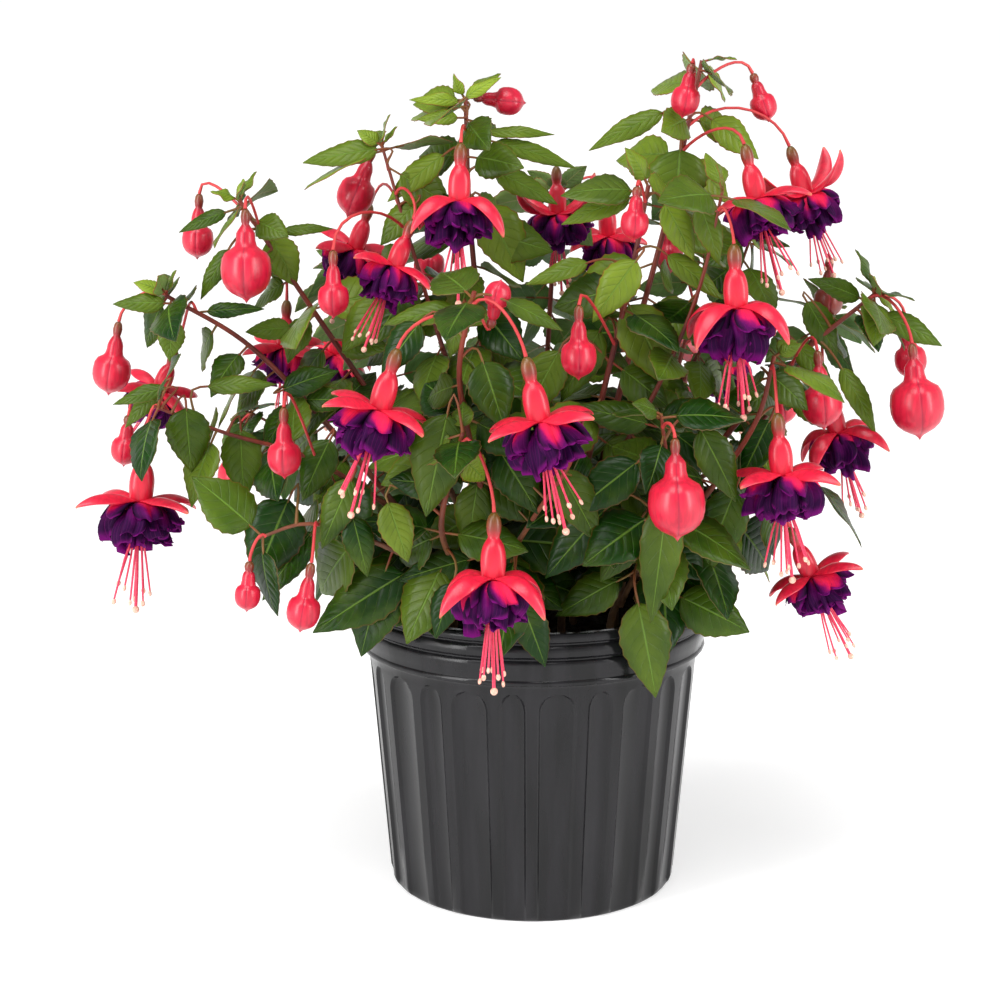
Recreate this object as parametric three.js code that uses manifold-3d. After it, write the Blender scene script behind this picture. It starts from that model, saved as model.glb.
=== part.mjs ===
// A potted double fuchsia: a fluted nursery pot filled with potting mix, leafy shoots standing in it,
// and hanging two-coloured blooms. Millimetres, +Z up, the origin at the middle of the pot's base.
import * as THREE from "three";
import { mergeVertices } from "three/addons/utils/BufferGeometryUtils.js";
import Module from "manifold-3d";

const wasm = await Module();
wasm.setup();

const clearance = 0.3; // between pieces that touch

// Pot
const potHeight = 170;
const baseRadius = 83.2; // outside, at the base
const wallTopRadius = 95.6; // outside, just under the rim
const ledgeHeight = 142.3; // where the wall meets the rim
const wallThickness = 3.4; // rib to inside
const floorThickness = 3;
const fluteCount = 24;
const fluteDepth = 1.6;
const fluteHalfAngles = [6, 4]; // degrees, wide and narrow panels in turn
const fluteFlank = 0.8; // degrees that a panel's side wall takes
const archSpring = 124; // height where a panel's round top begins
const archRise = 11;
const archMiddle = 0.6; // of the rise, where the arch bends
const archTopHalf = 0.8; // degrees that a panel is still wide at the top of its arch
const baseChamfer = 4.5;
const rimProfile = [ // radius and height, outside of the rim from its ledge to its lip
  [99, ledgeHeight], [100.8, 153.8], [98.8, 155.4], [101.5, 157.6], [101.5, 162.2],
  [99.4, 164.2], [100.8, 166.4], [99.6, potHeight],
];
const drainCount = 5;
const drainRadius = 5;
const drainCircle = 58;
const potSides = 40;

// Potting mix
const mixTop = 150;
const mixSides = 20;
const holeDepth = 26;
const holeClearance = 1.4; // round a stem

// Shoots: points of each stem above its hole; a branch leaves its main stem at a share of its length
const stemRadius = 2.4;
const branchRadius = 1.7;
const tipShare = 0.5; // a stem's tip radius over its foot radius
const stemStep = 32; // length of a straight stretch of stem
const minimumSteps = 4;
const shoots = [
  { name: "high_left", hole: [-36, 8],
    main: [[-50, 6, 205], [-84, 2, 270], [-130, -2, 342], [-164, -10, 396]], branches: [] },
  { name: "left", hole: [-46, -12],
    main: [[-62, -16, 200], [-108, -22, 262], [-160, -26, 318], [-202, -40, 346]],
    branches: [{ at: 0.36, points: [[-125, -50, 258], [-168, -66, 274], [-204, -76, 290]] }] },
  { name: "top_left", hole: [-16, -4],
    main: [[-20, -4, 210], [-28, -6, 300], [-36, -8, 390], [-38, -10, 452]],
    branches: [{ at: 0.36, points: [[-48, -14, 305], [-68, -14, 370], [-84, -16, 426]] }] },
  { name: "front_left", hole: [-14, -40],
    main: [[-20, -62, 205], [-34, -94, 270], [-40, -114, 315], [-32, -126, 356]],
    branches: [{ at: 0.3, points: [[0, -96, 235], [18, -118, 268], [24, -124, 292]] }] },
  { name: "high_right", hole: [24, 8],
    main: [[32, 6, 210], [50, 0, 290], [74, -6, 385], [92, -10, 472]],
    branches: [{ at: 0.4, points: [[84, 18, 290], [112, 22, 338], [124, 20, 372]] }] },
  { name: "centre_right", hole: [16, -30],
    main: [[20, -40, 205], [36, -58, 290], [50, -68, 355], [59, -74, 407]],
    branches: [{ at: 0.34, points: [[62, -62, 290], [86, -72, 350], [98, -74, 404]] }] },
  { name: "right", hole: [48, -4],
    main: [[62, -8, 200], [104, -14, 258], [150, -22, 312], [188, -30, 346]],
    branches: [{ at: 0.4, points: [[128, 14, 262], [156, 30, 300], [170, 34, 330]] }] },
  { name: "low_right", hole: [44, -36],
    main: [[60, -50, 195], [92, -72, 240], [118, -84, 285], [126, -84, 318]],
    branches: [
      { at: 0.22, points: [[62, -84, 222], [68, -108, 262], [64, -118, 292]] },
      { at: 0.42, points: [[128, -60, 236], [152, -46, 248]] },
    ] },
  { name: "low_left", hole: [-34, -36],
    main: [[-42, -66, 195], [-50, -100, 228], [-44, -124, 262], [-38, -128, 284]],
    branches: [{ at: 0.36, points: [[-88, -84, 218], [-122, -96, 230], [-146, -104, 224]] }] },
  { name: "rear_left", hole: [-26, 34],
    main: [[-44, 52, 210], [-84, 84, 280], [-112, 104, 350]],
    branches: [{ at: 0.34, points: [[-96, 84, 226], [-140, 92, 244], [-172, 88, 262]] }] },
  { name: "rear_middle", hole: [4, 42],
    main: [[6, 62, 215], [10, 88, 300], [16, 104, 396]],
    branches: [{ at: 0.3, points: [[-14, 112, 232], [-34, 146, 262], [-44, 156, 290]] }] },
  { name: "rear_right", hole: [36, 34],
    main: [[50, 52, 205], [84, 80, 275], [106, 96, 352]],
    branches: [{ at: 0.34, points: [[72, 104, 222], [84, 142, 256], [92, 154, 284]] }] },
];

// Leaves, in opposite pairs along every stem, each pair square to the one below
const leafSpacing = 74;
const leafLength = [68, 44]; // at the foot and at the tip of a stem
const leafWidth = 0.62; // of its length
const leafKeel = 1.5; // the rib's height over the margins
const leafRings = [ // share of the length, half width over the widest, and the margin's wave
  [0.18, 0.07, 0], [0.34, 0.86, 0.5], [0.52, 1, -0.9], [0.74, 0.58, 0.6],
];
const rootShare = 0.45; // of a stem's radius: how far from its middle a petiole or stalk is rooted
const rimReach = 106; // leaves stay outside this radius below the rim, and above the lowest leaf
const lowestLeaf = 120;
const leafTries = [0, 28, -28, 56, -56, 84, -84]; // degrees round the stem, until a leaf is clear
const leafSizes = [1, 0.78];
const bareShare = 0.3; // of a main stem, below its first leaves
const lastShare = 0.985; // of a stem, where its last leaves stand
const leafSamples = [ // share of the length and of the half width
  [0.22, 0], [0.38, 0], [0.6, 0], [0.82, 0], [1, 0], [0.48, 0.45], [0.48, -0.45],
  [0.42, 0.85], [0.42, -0.85], [0.65, 0.7], [0.65, -0.7],
];
const sampleRadius = 6.5;
const ownShare = 0.8; // how near leaves of one shoot may come, over those of two

// Blooms: place of the ovary's top, lean of the hanging bloom in degrees along X and Y, size, sepal form,
// and the stem that carries it: shoot, stem (0 is the main one) and share of its length
const blooms = [
  { top: [-40, -45, 428], lean: [-2, -6], size: 0.97, sepals: "drooping", on: ["top_left", 0, 0.93] },
  { top: [-66, -42, 387], lean: [-22, -8], size: 0.85, sepals: "level", on: ["top_left", 1, 0.86] },
  { top: [-94, 40, 391], lean: [-20, 12], size: 0.85, sepals: "level", on: ["top_left", 1, 0.8] },
  { top: [-211, -66, 271], lean: [-5, -6], size: 1.06, sepals: "level", on: ["left", 1, 0.98] },
  { top: [-71, -128, 327], lean: [-17, -4], size: 1, sepals: "level", on: ["front_left", 0, 0.93] },
  { top: [-6, -146, 325], lean: [12, -4], size: 1.02, sepals: "level", on: ["front_left", 0, 0.97] },
  { top: [-22, -142, 245], lean: [-1, -6], size: 1.04, sepals: "drooping", on: ["low_left", 0, 0.97] },
  { top: [103, -88, 377], lean: [3, -4], size: 1.03, sepals: "drooping", on: ["centre_right", 1, 0.95] },
  { top: [113, -38, 427], lean: [14, -6], size: 0.93, sepals: "level", on: ["high_right", 0, 0.86] },
  { top: [143, 4, 425], lean: [20, 4], size: 0.88, sepals: "raised", on: ["high_right", 0, 0.9] },
  { top: [126, -102, 290], lean: [5, -5], size: 1, sepals: "level", on: ["low_right", 0, 0.97] },
  { top: [164, -14, 294], lean: [16, 0], size: 0.9, sepals: "drooping", on: ["right", 0, 0.86] },
  { top: [140, -58, 220], lean: [25, -6], size: 0.9, sepals: "level", on: ["low_right", 2, 0.85] },
  { top: [-143, 34, 336], lean: [-4, 8], size: 0.84, sepals: "level", on: ["high_left", 0, 0.86] },
  { top: [14, 60, 412], lean: [2, 4], size: 0.85, sepals: "raised", on: ["rear_middle", 0, 0.97] },
  { top: [-204, 6, 310], lean: [-24, 10], size: 0.8, sepals: "level", on: ["left", 0, 0.93] },
  { top: [47, 124, 396], lean: [2, 8], size: 0.9, sepals: "level", on: ["rear_middle", 0, 0.99] },
  { top: [-118, 134, 322], lean: [-10, 14], size: 0.95, sepals: "drooping", on: ["rear_left", 0, 0.97] },
  { top: [-34, 178, 278], lean: [-4, 12], size: 1, sepals: "level", on: ["rear_middle", 1, 0.97] },
  { top: [116, 134, 318], lean: [8, 14], size: 0.95, sepals: "raised", on: ["rear_right", 0, 0.97] },
];
const bloomSides = 5;
const calyxProfile = [ // ovary, tube and the slim column of filaments, from the top down
  [2.4, -0.1], [3.2, -9], [6.8, -23], [6, -33], [1.3, -36], [1.3, -60],
];
const sepalPaths = { // radius and height of the root, two middles and the tip
  raised: [[3, -30.5], [15, -27], [27, -20], [36, -9]],
  level: [[3, -30.5], [16, -28.5], [28, -30], [38, -36]],
  drooping: [[3, -30.5], [17, -29], [28, -36], [33.5, -50]],
};
const sepalWidths = [6.6, 6.2]; // half widths between root and tip
const hubProfile = [[2.1, -36.8], [6.4, -37.4], [2.1, -43.5]];
const petalLayers = [
  { count: 5, path: [[3.4, -38.6], [14, -39.5], [22, -51], [18, -62]], widths: [7.4, 11], turn: 0 },
  { count: 3, path: [[3, -39.4], [7.5, -47], [11.5, -58], [9, -65]], widths: [5.4, 7.6], turn: 30 },
];
const filaments = [ // turn in degrees, reach outwards and end height
  [20, 9, -77], [140, 12, -73], [260, 8, -80],
];
const styleEnd = -90;
const sepalCount = 4;
const sepalTurn = (i) => (2 * Math.PI * (i + 0.5)) / sepalCount;
const bloomKeepOut = [ // distance down and radius
  [6, 6], [18, 6], [28, 6], [50, 24], [70, 9], [80, 9], [88, 9],
];
const sepalKeepOut = 7;
const stalkKeepOut = 1.5;

// Buds: place of the ovary's top, lean, ball diameter, and what carries them as for blooms
const buds = [
  { top: [-190, 18, 398], lean: [-4, 4], ball: 17, on: ["high_left", 0, 0.95] },
  { top: [-156, -50, 393], lean: [0, -4], ball: 26, on: ["high_left", 0, 0.93] },
  { top: [-90, 10, 424], lean: [-22, 0], ball: 20, on: ["top_left", 1, 0.93] },
  { top: [-230, -28, 330], lean: [-10, 0], ball: 20, on: ["left", 0, 0.98] },
  { top: [-226, -30, 278], lean: [-8, 4], ball: 15, on: ["left", 1, 0.95] },
  { top: [-132, -102, 293], lean: [0, -4], ball: 17, on: ["left", 1, 0.4] },
  { top: [-108, -64, 372], lean: [0, -4], ball: 16, on: ["top_left", 1, 0.75] },
  { top: [22, -98, 346], lean: [0, -4], ball: 18, on: ["centre_right", 0, 0.7] },
  { top: [-24, -112, 336], lean: [12, -165], ball: 13, on: ["front_left", 0, 0.96] },
  { top: [-34, 6, 452], lean: [84, 0], ball: 15, on: ["top_left", 0, 0.97] },
  { top: [70, -134, 282], lean: [2, -4], ball: 28, on: ["low_right", 1, 0.95] },
  { top: [206, -46, 320], lean: [6, -4], ball: 28, on: ["right", 0, 0.98] },
  { top: [208, -12, 332], lean: [10, 4], ball: 17, on: ["right", 0, 0.96] },
  { top: [122, 8, 465], lean: [20, 0], ball: 14, on: ["high_right", 0, 0.96] },
  { top: [85, -26, 470], lean: [-10, -6], ball: 15, on: ["high_right", 0, 0.95] },
  { top: [52, -92, 407], lean: [-4, -6], ball: 14, on: ["centre_right", 0, 0.97] },
  { top: [-151, -108, 212], lean: [-4, -4], ball: 13, on: ["low_left", 1, 0.97] },
  { top: [-118, -112, 212], lean: [-10, -4], ball: 17, on: ["low_left", 1, 0.75] },
  { top: [152, -62, 318], lean: [6, -4], ball: 21, on: ["right", 0, 0.78] },
  { top: [170, 22, 362], lean: [0, 0], ball: 16, on: ["right", 1, 0.97] },
  { top: [-180, 88, 250], lean: [-6, 4], ball: 20, on: ["rear_left", 1, 0.97] },
  { top: [-60, 84, 378], lean: [-4, 8], ball: 18, on: ["rear_left", 0, 0.9] },
  { top: [80, 66, 384], lean: [4, 6], ball: 16, on: ["rear_right", 0, 0.9] },
  { top: [100, 166, 276], lean: [4, 8], ball: 22, on: ["rear_right", 1, 0.97] },
  { top: [150, 90, 290], lean: [10, 4], ball: 17, on: ["rear_right", 0, 0.8] },
];
const budSides = 5;
const smallBud = 16; // balls under this diameter have a short neck
const budNecks = { small: 9, large: 14 }; // ovary and tube together
const neckOf = (bud) => (bud.ball < smallBud ? budNecks.small : budNecks.large);
const pedicelRadius = 0.95;
const pedicelSides = 3;
const pedicelSteps = 3;

const colours = {
  pot: 0x454346, mix: 0x2b211b, shoot: 0x43693a, calyx: 0xe63a56, corolla: 0x4b1766,
};

const up = new THREE.Vector3(0, 0, 1);
const straightDown = new THREE.Vector3(0, 0, -1);
const vector = (p) => new THREE.Vector3(p[0], p[1], p[2]);
const radians = THREE.MathUtils.degToRad;

// Solids and the joins and cuts between them
function solidOf(geometry) {
  const bare = geometry.clone();
  bare.deleteAttribute("normal");
  bare.deleteAttribute("uv");
  const merged = mergeVertices(bare, 1e-4);
  return new wasm.Manifold(new wasm.Mesh({
    numProp: 3,
    vertProperties: merged.attributes.position.array,
    triVerts: new Uint32Array(merged.index.array),
  }));
}

function geometryOf(solid) {
  const mesh = solid.getMesh();
  const geometry = new THREE.BufferGeometry();
  geometry.setAttribute("position", new THREE.BufferAttribute(new Float32Array(mesh.vertProperties), 3));
  geometry.setIndex(new THREE.BufferAttribute(new Uint32Array(mesh.triVerts), 1));
  geometry.computeVertexNormals();
  return geometry;
}

// The one body that the shapes join into, with a hollow that the join seals filled
function joined(geometries) {
  const bodies = wasm.Manifold.union(geometries.map(solidOf)).decompose();
  return geometryOf(bodies.reduce((largest, body) => (body.volume() > largest.volume() ? body : largest)));
}

// A solid of revolution about Z from [radius, height] pairs, closed on the axis at both ends
function turned(profile, sides, closed = true) {
  const ends = closed ? [[0, profile[0][1]], ...profile, [0, profile[profile.length - 1][1]]] : profile;
  const points = ends.map(([radius, height]) => new THREE.Vector2(radius, height));
  if (closed && points[0].y > points[points.length - 1].y) points.reverse();
  return new THREE.LatheGeometry(points, sides).rotateX(Math.PI / 2);
}

// A ball of three meridians drawn out to a blade: one meridian is its keel, the others its margins.
// place gives the point at a ring number, on side -1, 0 or 1.
function blade(ringCount, place) {
  const ball = new THREE.SphereGeometry(1, 3, ringCount + 1);
  const position = ball.attributes.position;
  for (let i = 0; i < position.count; i++) {
    const ring = Math.round((Math.acos(position.getY(i)) / Math.PI) * (ringCount + 1));
    const z = position.getZ(i);
    const side = ring === 0 || ring === ringCount + 1 || Math.abs(z) < 1e-3 ? 0 : Math.sign(z);
    const point = place(ring, side);
    position.setXYZ(i, point.x, point.y, point.z);
  }
  return ball;
}

// A tube that tapers along a curve
function stemTube(curve, footRadius, tipRadius, sides, steps) {
  const section = new THREE.Shape();
  for (let i = 0; i < sides; i++) {
    const turn = (2 * Math.PI * i) / sides;
    const corner = [footRadius * Math.cos(turn), footRadius * Math.sin(turn)];
    if (i === 0) section.moveTo(...corner);
    else section.lineTo(...corner);
  }
  section.closePath();
  const tube = new THREE.ExtrudeGeometry(section, { steps, extrudePath: curve, bevelEnabled: false });
  const centres = curve.getSpacedPoints(steps);
  const position = tube.attributes.position;
  for (let i = 0; i < position.count; i++) {
    const point = new THREE.Vector3().fromBufferAttribute(position, i);
    let nearest = 0;
    centres.forEach((c, k) => {
      if (c.distanceTo(point) < centres[nearest].distanceTo(point)) nearest = k;
    });
    const share = 1 + (tipRadius / footRadius - 1) * (nearest / steps);
    point.sub(centres[nearest]).multiplyScalar(share).add(centres[nearest]);
    position.setXYZ(i, point.x, point.y, point.z);
  }
  return tube;
}

// Pot: a fluted wall, a ribbed rim and a hollow inside
function wallRadius(height) {
  return baseRadius + (wallTopRadius - baseRadius) * (height / ledgeHeight);
}

function flutedWall() {
  const archBend = archSpring + archMiddle * archRise;
  const rows = [0, baseChamfer, archSpring, archBend, archSpring + archRise, mixTop];
  const profile = rows.map((height) => [wallRadius(Math.min(height, ledgeHeight)), height]);
  const wall = turned(profile, fluteCount * 4);
  const position = wall.attributes.position;
  for (let i = 0; i < position.count; i++) {
    const radius = Math.hypot(position.getX(i), position.getY(i));
    if (radius < 1) continue;
    const height = position.getZ(i);
    const angle = Math.atan2(position.getY(i), position.getX(i));
    const step = Math.round((angle / (2 * Math.PI)) * fluteCount * 4 + fluteCount * 4) % (fluteCount * 4);
    const flute = Math.floor(step / 4);
    const corner = step % 4;
    const rise = THREE.MathUtils.clamp((height - archSpring) / archRise, 0, 1);
    const half = fluteHalfAngles[flute % 2] * Math.sqrt(1 - rise * rise);
    const inPanel = corner === 1 || corner === 2;
    const side = corner < 2 ? -1 : 1;
    const offset = side * (Math.max(half, archTopHalf) + (inPanel ? -0.5 : 0.5) * fluteFlank);
    const turn = radians((flute + 0.5) * (360 / fluteCount) + offset);
    const cut = inPanel && rise < 1 ? fluteDepth : 0;
    const chamfer = height === 0 ? baseChamfer * 0.6 : 0;
    const out = radius - Math.max(cut, chamfer);
    position.setXYZ(i, out * Math.cos(turn), out * Math.sin(turn), height);
  }
  return wall;
}

function insideRadius(height) {
  return wallRadius(height) - wallThickness;
}

function makePot() {
  const rim = turned([[90, ledgeHeight], ...rimProfile], potSides);
  const inside = turned([
    [insideRadius(floorThickness), floorThickness],
    [insideRadius(ledgeHeight), ledgeHeight],
    [insideRadius(potHeight + 2), potHeight + 2],
  ], potSides);
  let pot = solidOf(flutedWall()).add(solidOf(rim)).subtract(solidOf(inside));
  for (let i = 0; i < drainCount; i++) {
    const turn = (2 * Math.PI * (i + 0.5)) / drainCount;
    const drain = new THREE.CylinderGeometry(drainRadius, drainRadius, 4 * floorThickness, 8);
    drain.rotateX(Math.PI / 2).translate(drainCircle * Math.cos(turn), drainCircle * Math.sin(turn), 0);
    pot = pot.subtract(solidOf(drain));
  }
  return geometryOf(pot);
}

// Potting mix: fills the pot to a little under its rim, with a hole for each stem
function makeMix() {
  const gap = 2 * clearance;
  const profile = [
    [insideRadius(floorThickness) - gap, floorThickness + clearance],
    [insideRadius(mixTop) - gap, mixTop],
  ];
  let mix = solidOf(turned(profile, mixSides));
  for (const { hole } of shoots) {
    const radius = stemRadius + holeClearance;
    const bore = new THREE.CylinderGeometry(radius, radius, 2 * holeDepth, 5).rotateX(Math.PI / 2);
    bore.translate(hole[0], hole[1], mixTop);
    mix = mix.subtract(solidOf(bore));
  }
  return geometryOf(mix);
}

// Stems
const random = (() => {
  let state = 20260611;
  return () => {
    state = (state * 1664525 + 1013904223) % 4294967296;
    return state / 4294967296;
  };
})();

// A stem's curve and the points where its faceted tube bends
function stemAlong(points) {
  const curve = new THREE.CatmullRomCurve3(points, false, "centripetal");
  const steps = Math.max(minimumSteps, Math.round(curve.getLength() / stemStep));
  return { curve, steps, bends: curve.getSpacedPoints(steps), length: curve.getLength() };
}

function middleAt(stem, share) {
  const step = Math.min(Math.floor(share * stem.steps), stem.steps - 1);
  return stem.bends[step].clone().lerp(stem.bends[step + 1], share * stem.steps - step);
}

function stemsOf(shoot) {
  const [x, y] = shoot.hole;
  const foot = [[x, y, mixTop - holeDepth + clearance], [x, y, mixTop - 6], [x, y, mixTop + 14]];
  const main = stemAlong([...foot, ...shoot.main].map(vector));
  const branchOf = ({ at, points }) => stemAlong([middleAt(main, at), ...points.map(vector)]);
  return [main, ...shoot.branches.map(branchOf)];
}

const stems = new Map(shoots.map((shoot) => [shoot.name, stemsOf(shoot)]));

const footRadius = (stem) => (stem === 0 ? stemRadius : branchRadius);
const rootOffset = (stem, share) => rootShare * footRadius(stem) * (1 - (1 - tipShare) * share);

function hangingDirection(lean) {
  return straightDown.clone().applyEuler(new THREE.Euler(radians(lean[1]), -radians(lean[0]), 0));
}

// A flower stalk rises from its stem and arches over to the top of the ovary
function pedicelCurve(item) {
  const [shootName, stem, share] = item.on;
  const start = middleAt(stems.get(shootName)[stem], share);
  const away = new THREE.Vector3(item.top[0] - start.x, item.top[1] - start.y, 0).normalize();
  start.addScaledVector(away, rootOffset(stem, share));
  const down = hangingDirection(item.lean);
  const end = vector(item.top).addScaledVector(down, -clearance);
  const reach = start.distanceTo(end);
  const rise = new THREE.Vector3(end.x - start.x, end.y - start.y, 0).multiplyScalar(0.35);
  const first = start.clone().add(rise).addScaledVector(up, 0.3 * reach);
  const second = end.clone().addScaledVector(down, -0.35 * reach);
  return new THREE.CubicBezierCurve3(start, first, second, end);
}

// What leaves keep clear of: points with a radius and the shoot that they belong to, null for blooms
const taken = [];
const takenStep = 5; // between the points along a stem

function take(point, radius, owner) {
  taken.push({ point, radius, owner });
}

function takeCurve(curve, radius, owner) {
  const count = Math.ceil(curve.getLength() / takenStep);
  for (let i = 0; i <= count; i++) take(curve.getPointAt(i / count), radius, owner);
}

function takeAlong(item, distance, radius, owner) {
  take(vector(item.top).addScaledVector(hangingDirection(item.lean), distance), radius, owner);
}

// Blooms
const bloomPlace = (turn, radius, height, across) => {
  const out = new THREE.Vector3(Math.cos(turn), Math.sin(turn), 0);
  const side = new THREE.Vector3(-Math.sin(turn), Math.cos(turn), 0);
  return out.multiplyScalar(radius).addScaledVector(side, across).addScaledVector(up, height);
};

// A sepal or petal along a path of radius and height: its keel stands proud of it, its margins curl in
function lobe(path, widths, turn, thickness, cup) {
  return blade(widths.length, (ring, side) => {
    const [radius, height] = path[ring];
    if (ring === 0 || ring > widths.length) return bloomPlace(turn, radius, height, 0);
    const before = new THREE.Vector2(...path[ring - 1]);
    const along = new THREE.Vector2(...path[ring + 1]).sub(before).normalize();
    const shift = side === 0 ? thickness : -cup * widths[ring - 1];
    return bloomPlace(turn, radius - along.y * shift, height + along.x * shift, side * widths[ring - 1]);
  });
}

function makeCalyx(sepalPath) {
  const parts = [turned(calyxProfile, bloomSides)];
  for (let i = 0; i < sepalCount; i++) parts.push(lobe(sepalPath, sepalWidths, sepalTurn(i), 1.1, 0.12));
  for (const [turn, reach, end] of filaments) parts.push(needle(radians(turn), reach, -56, end, 0.9));
  parts.push(needle(0, 1.5, -58, styleEnd, 1.1));
  return joined(parts);
}

// A filament: three-sided, thickest near its anther
function needle(turn, reach, startHeight, endHeight, radius) {
  return blade(1, (ring, side) => {
    const share = [0, 0.92, 1][ring];
    const height = startHeight + (endHeight - startHeight) * share;
    const shift = side === 0 ? radius : -0.5 * radius;
    return bloomPlace(turn, reach * share + (ring === 1 ? shift : 0), height, side * radius * 0.87);
  });
}

function makeCorolla() {
  const parts = [turned([...hubProfile, hubProfile[0]].reverse(), bloomSides, false)];
  for (const layer of petalLayers) {
    for (let i = 0; i < layer.count; i++) {
      const turn = radians(layer.turn) + (2 * Math.PI * i) / layer.count;
      parts.push(lobe(layer.path, layer.widths, turn, 0.9, 0.2));
    }
  }
  return joined(parts);
}

// Buds
function makeBud(item) {
  const ball = item.ball / 2;
  const neck = neckOf(item);
  const profile = [
    [2, -0.1], [2.2, -0.57 * neck], [0.36 * ball + 1, -0.79 * neck - 0.6 * ball], [ball, -neck - 1.5 * ball],
  ];
  const tip = -neck - 2.9 * ball;
  const body = turned([[0, tip], ...profile.reverse(), [0, 0.6]], budSides, false);
  const turn = new THREE.Quaternion().setFromUnitVectors(straightDown, hangingDirection(item.lean));
  return body.applyQuaternion(turn).translate(...item.top);
}

// Leaves
function leafFrame(shootName, stem, share, angle, length) {
  const start = middleAt(stems.get(shootName)[stem], share);
  const tangent = stems.get(shootName)[stem].curve.getTangentAt(share);
  const outward = new THREE.Vector3(start.x, start.y, 0);
  if (outward.length() < 1) outward.set(0, -1, 0);
  outward.normalize();
  const across = outward.clone().addScaledVector(tangent, -outward.dot(tangent)).normalize();
  const other = new THREE.Vector3().crossVectors(tangent, across);
  const heading = across.clone().multiplyScalar(Math.cos(angle)).addScaledVector(other, Math.sin(angle));
  heading.addScaledVector(tangent, 0.3).addScaledVector(up, -0.32).normalize();
  const above = up.clone().multiplyScalar(0.75).addScaledVector(outward, 0.7);
  const side = new THREE.Vector3().crossVectors(above, heading).normalize();
  const face = new THREE.Vector3().crossVectors(heading, side);
  start.addScaledVector(heading, rootOffset(stem, share));
  return { start, heading, side, face, length };
}

function leafPoint(frame, share, across, height) {
  const droop = -0.16 * frame.length * share * share;
  return frame.start.clone()
    .addScaledVector(frame.heading, frame.length * share)
    .addScaledVector(frame.side, across)
    .addScaledVector(frame.face, droop + height);
}

function makeLeaf(frame) {
  const half = 0.5 * leafWidth * frame.length;
  return blade(leafRings.length, (ring, side) => {
    if (ring === 0) return leafPoint(frame, 0, 0, 0);
    if (ring > leafRings.length) return leafPoint(frame, 1, 0, 0);
    const [share, width, wave] = leafRings[ring - 1];
    const keel = side === 0 ? leafKeel : 0;
    return leafPoint(frame, share, side * width * half, ring === 1 ? keel - 0.5 : keel + (side ? wave : 0));
  });
}

function isClear(frame, owner) {
  const half = 0.5 * leafWidth * frame.length;
  for (const [share, across] of leafSamples) {
    const sample = leafPoint(frame, share, across * half, 0);
    if (Math.hypot(sample.x, sample.y) < rimReach && sample.z < potHeight + sampleRadius) return false;
    if (sample.z < lowestLeaf) return false;
    for (const other of taken) {
      const near = (sampleRadius + other.radius) * (other.owner === owner ? ownShare : 1);
      if (sample.distanceTo(other.point) < near) return false;
    }
  }
  return true;
}

// The first turn, and then the first size, at which a leaf is clear of all else
function fitLeaf(shootName, stem, share, angle, length) {
  for (const shrink of leafSizes) {
    for (const extra of leafTries) {
      const frame = leafFrame(shootName, stem, share, radians(angle + extra), length * shrink);
      if (isClear(frame, shootName)) return frame;
    }
  }
  return null;
}

function placeLeaves(shoot) {
  const placed = [];
  stems.get(shoot.name).forEach(({ length }, stem) => {
    const first = stem === 0 ? bareShare * length : 0.3 * leafSpacing;
    const pairs = Math.max(1, Math.round((length - first) / leafSpacing));
    for (let pair = 0; pair <= pairs; pair++) {
      const share = Math.min((first + ((length - first) * pair) / pairs) / length, lastShare);
      for (const half of [0, 180]) {
        const size = THREE.MathUtils.lerp(leafLength[0], leafLength[1], share) * (0.88 + 0.24 * random());
        const angle = pair * 90 + half + 30 * (random() - 0.5);
        const frame = fitLeaf(shoot.name, stem, share, angle, size);
        if (frame === null) continue;
        const reach = 0.5 * leafWidth * frame.length;
        for (const [along, across] of leafSamples) {
          take(leafPoint(frame, along, across * reach, 0), sampleRadius, shoot.name);
        }
        placed.push(frame);
      }
    }
  });
  return placed;
}

for (const shoot of shoots) {
  for (const stem of stems.get(shoot.name)) {
    const count = Math.ceil(stem.length / takenStep);
    for (let i = 0; i <= count; i++) take(middleAt(stem, i / count), stemRadius, shoot.name);
  }
}
for (const bloom of blooms) {
  takeCurve(pedicelCurve(bloom), stalkKeepOut, bloom.on[0]);
  for (const [distance, radius] of bloomKeepOut) takeAlong(bloom, distance * bloom.size, radius, null);
  const turn = new THREE.Quaternion().setFromUnitVectors(straightDown, hangingDirection(bloom.lean));
  for (let i = 0; i < sepalCount; i++) {
    for (const [radius, height] of sepalPaths[bloom.sepals].slice(1)) {
      const point = bloomPlace(sepalTurn(i), radius, height, 0).multiplyScalar(bloom.size);
      take(point.applyQuaternion(turn).add(vector(bloom.top)), sepalKeepOut, null);
    }
  }
}
for (const bud of buds) {
  takeCurve(pedicelCurve(bud), stalkKeepOut, bud.on[0]);
  takeAlong(bud, 0.57 * neckOf(bud), 4, bud.on[0]);
  takeAlong(bud, neckOf(bud) + 0.7 * bud.ball, bud.ball / 2 + 1, bud.on[0]);
}

function makeShoot(shoot) {
  const parts = [];
  stems.get(shoot.name).forEach(({ curve, steps }, index) => {
    const foot = footRadius(index);
    parts.push(stemTube(curve, foot, foot * tipShare, index === 0 ? 5 : 4, steps));
  });
  for (const item of [...blooms, ...buds]) {
    if (item.on[0] !== shoot.name) continue;
    parts.push(stemTube(pedicelCurve(item), pedicelRadius, pedicelRadius, pedicelSides, pedicelSteps));
  }
  for (const bud of buds) if (bud.on[0] === shoot.name) parts.push(makeBud(bud));
  for (const frame of placeLeaves(shoot)) parts.push(makeLeaf(frame));
  return joined(parts);
}

function finish(colour, roughness) {
  return new THREE.MeshStandardMaterial({ color: colour, roughness, metalness: 0, flatShading: true });
}

const plant = new THREE.Group();

function add(name, geometry, material, parent = plant) {
  const mesh = new THREE.Mesh(geometry, material);
  mesh.name = name;
  parent.add(mesh);
  return mesh;
}

add("pot", makePot(), finish(colours.pot, 0.35));
add("potting_mix", makeMix(), finish(colours.mix, 0.95));

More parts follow.
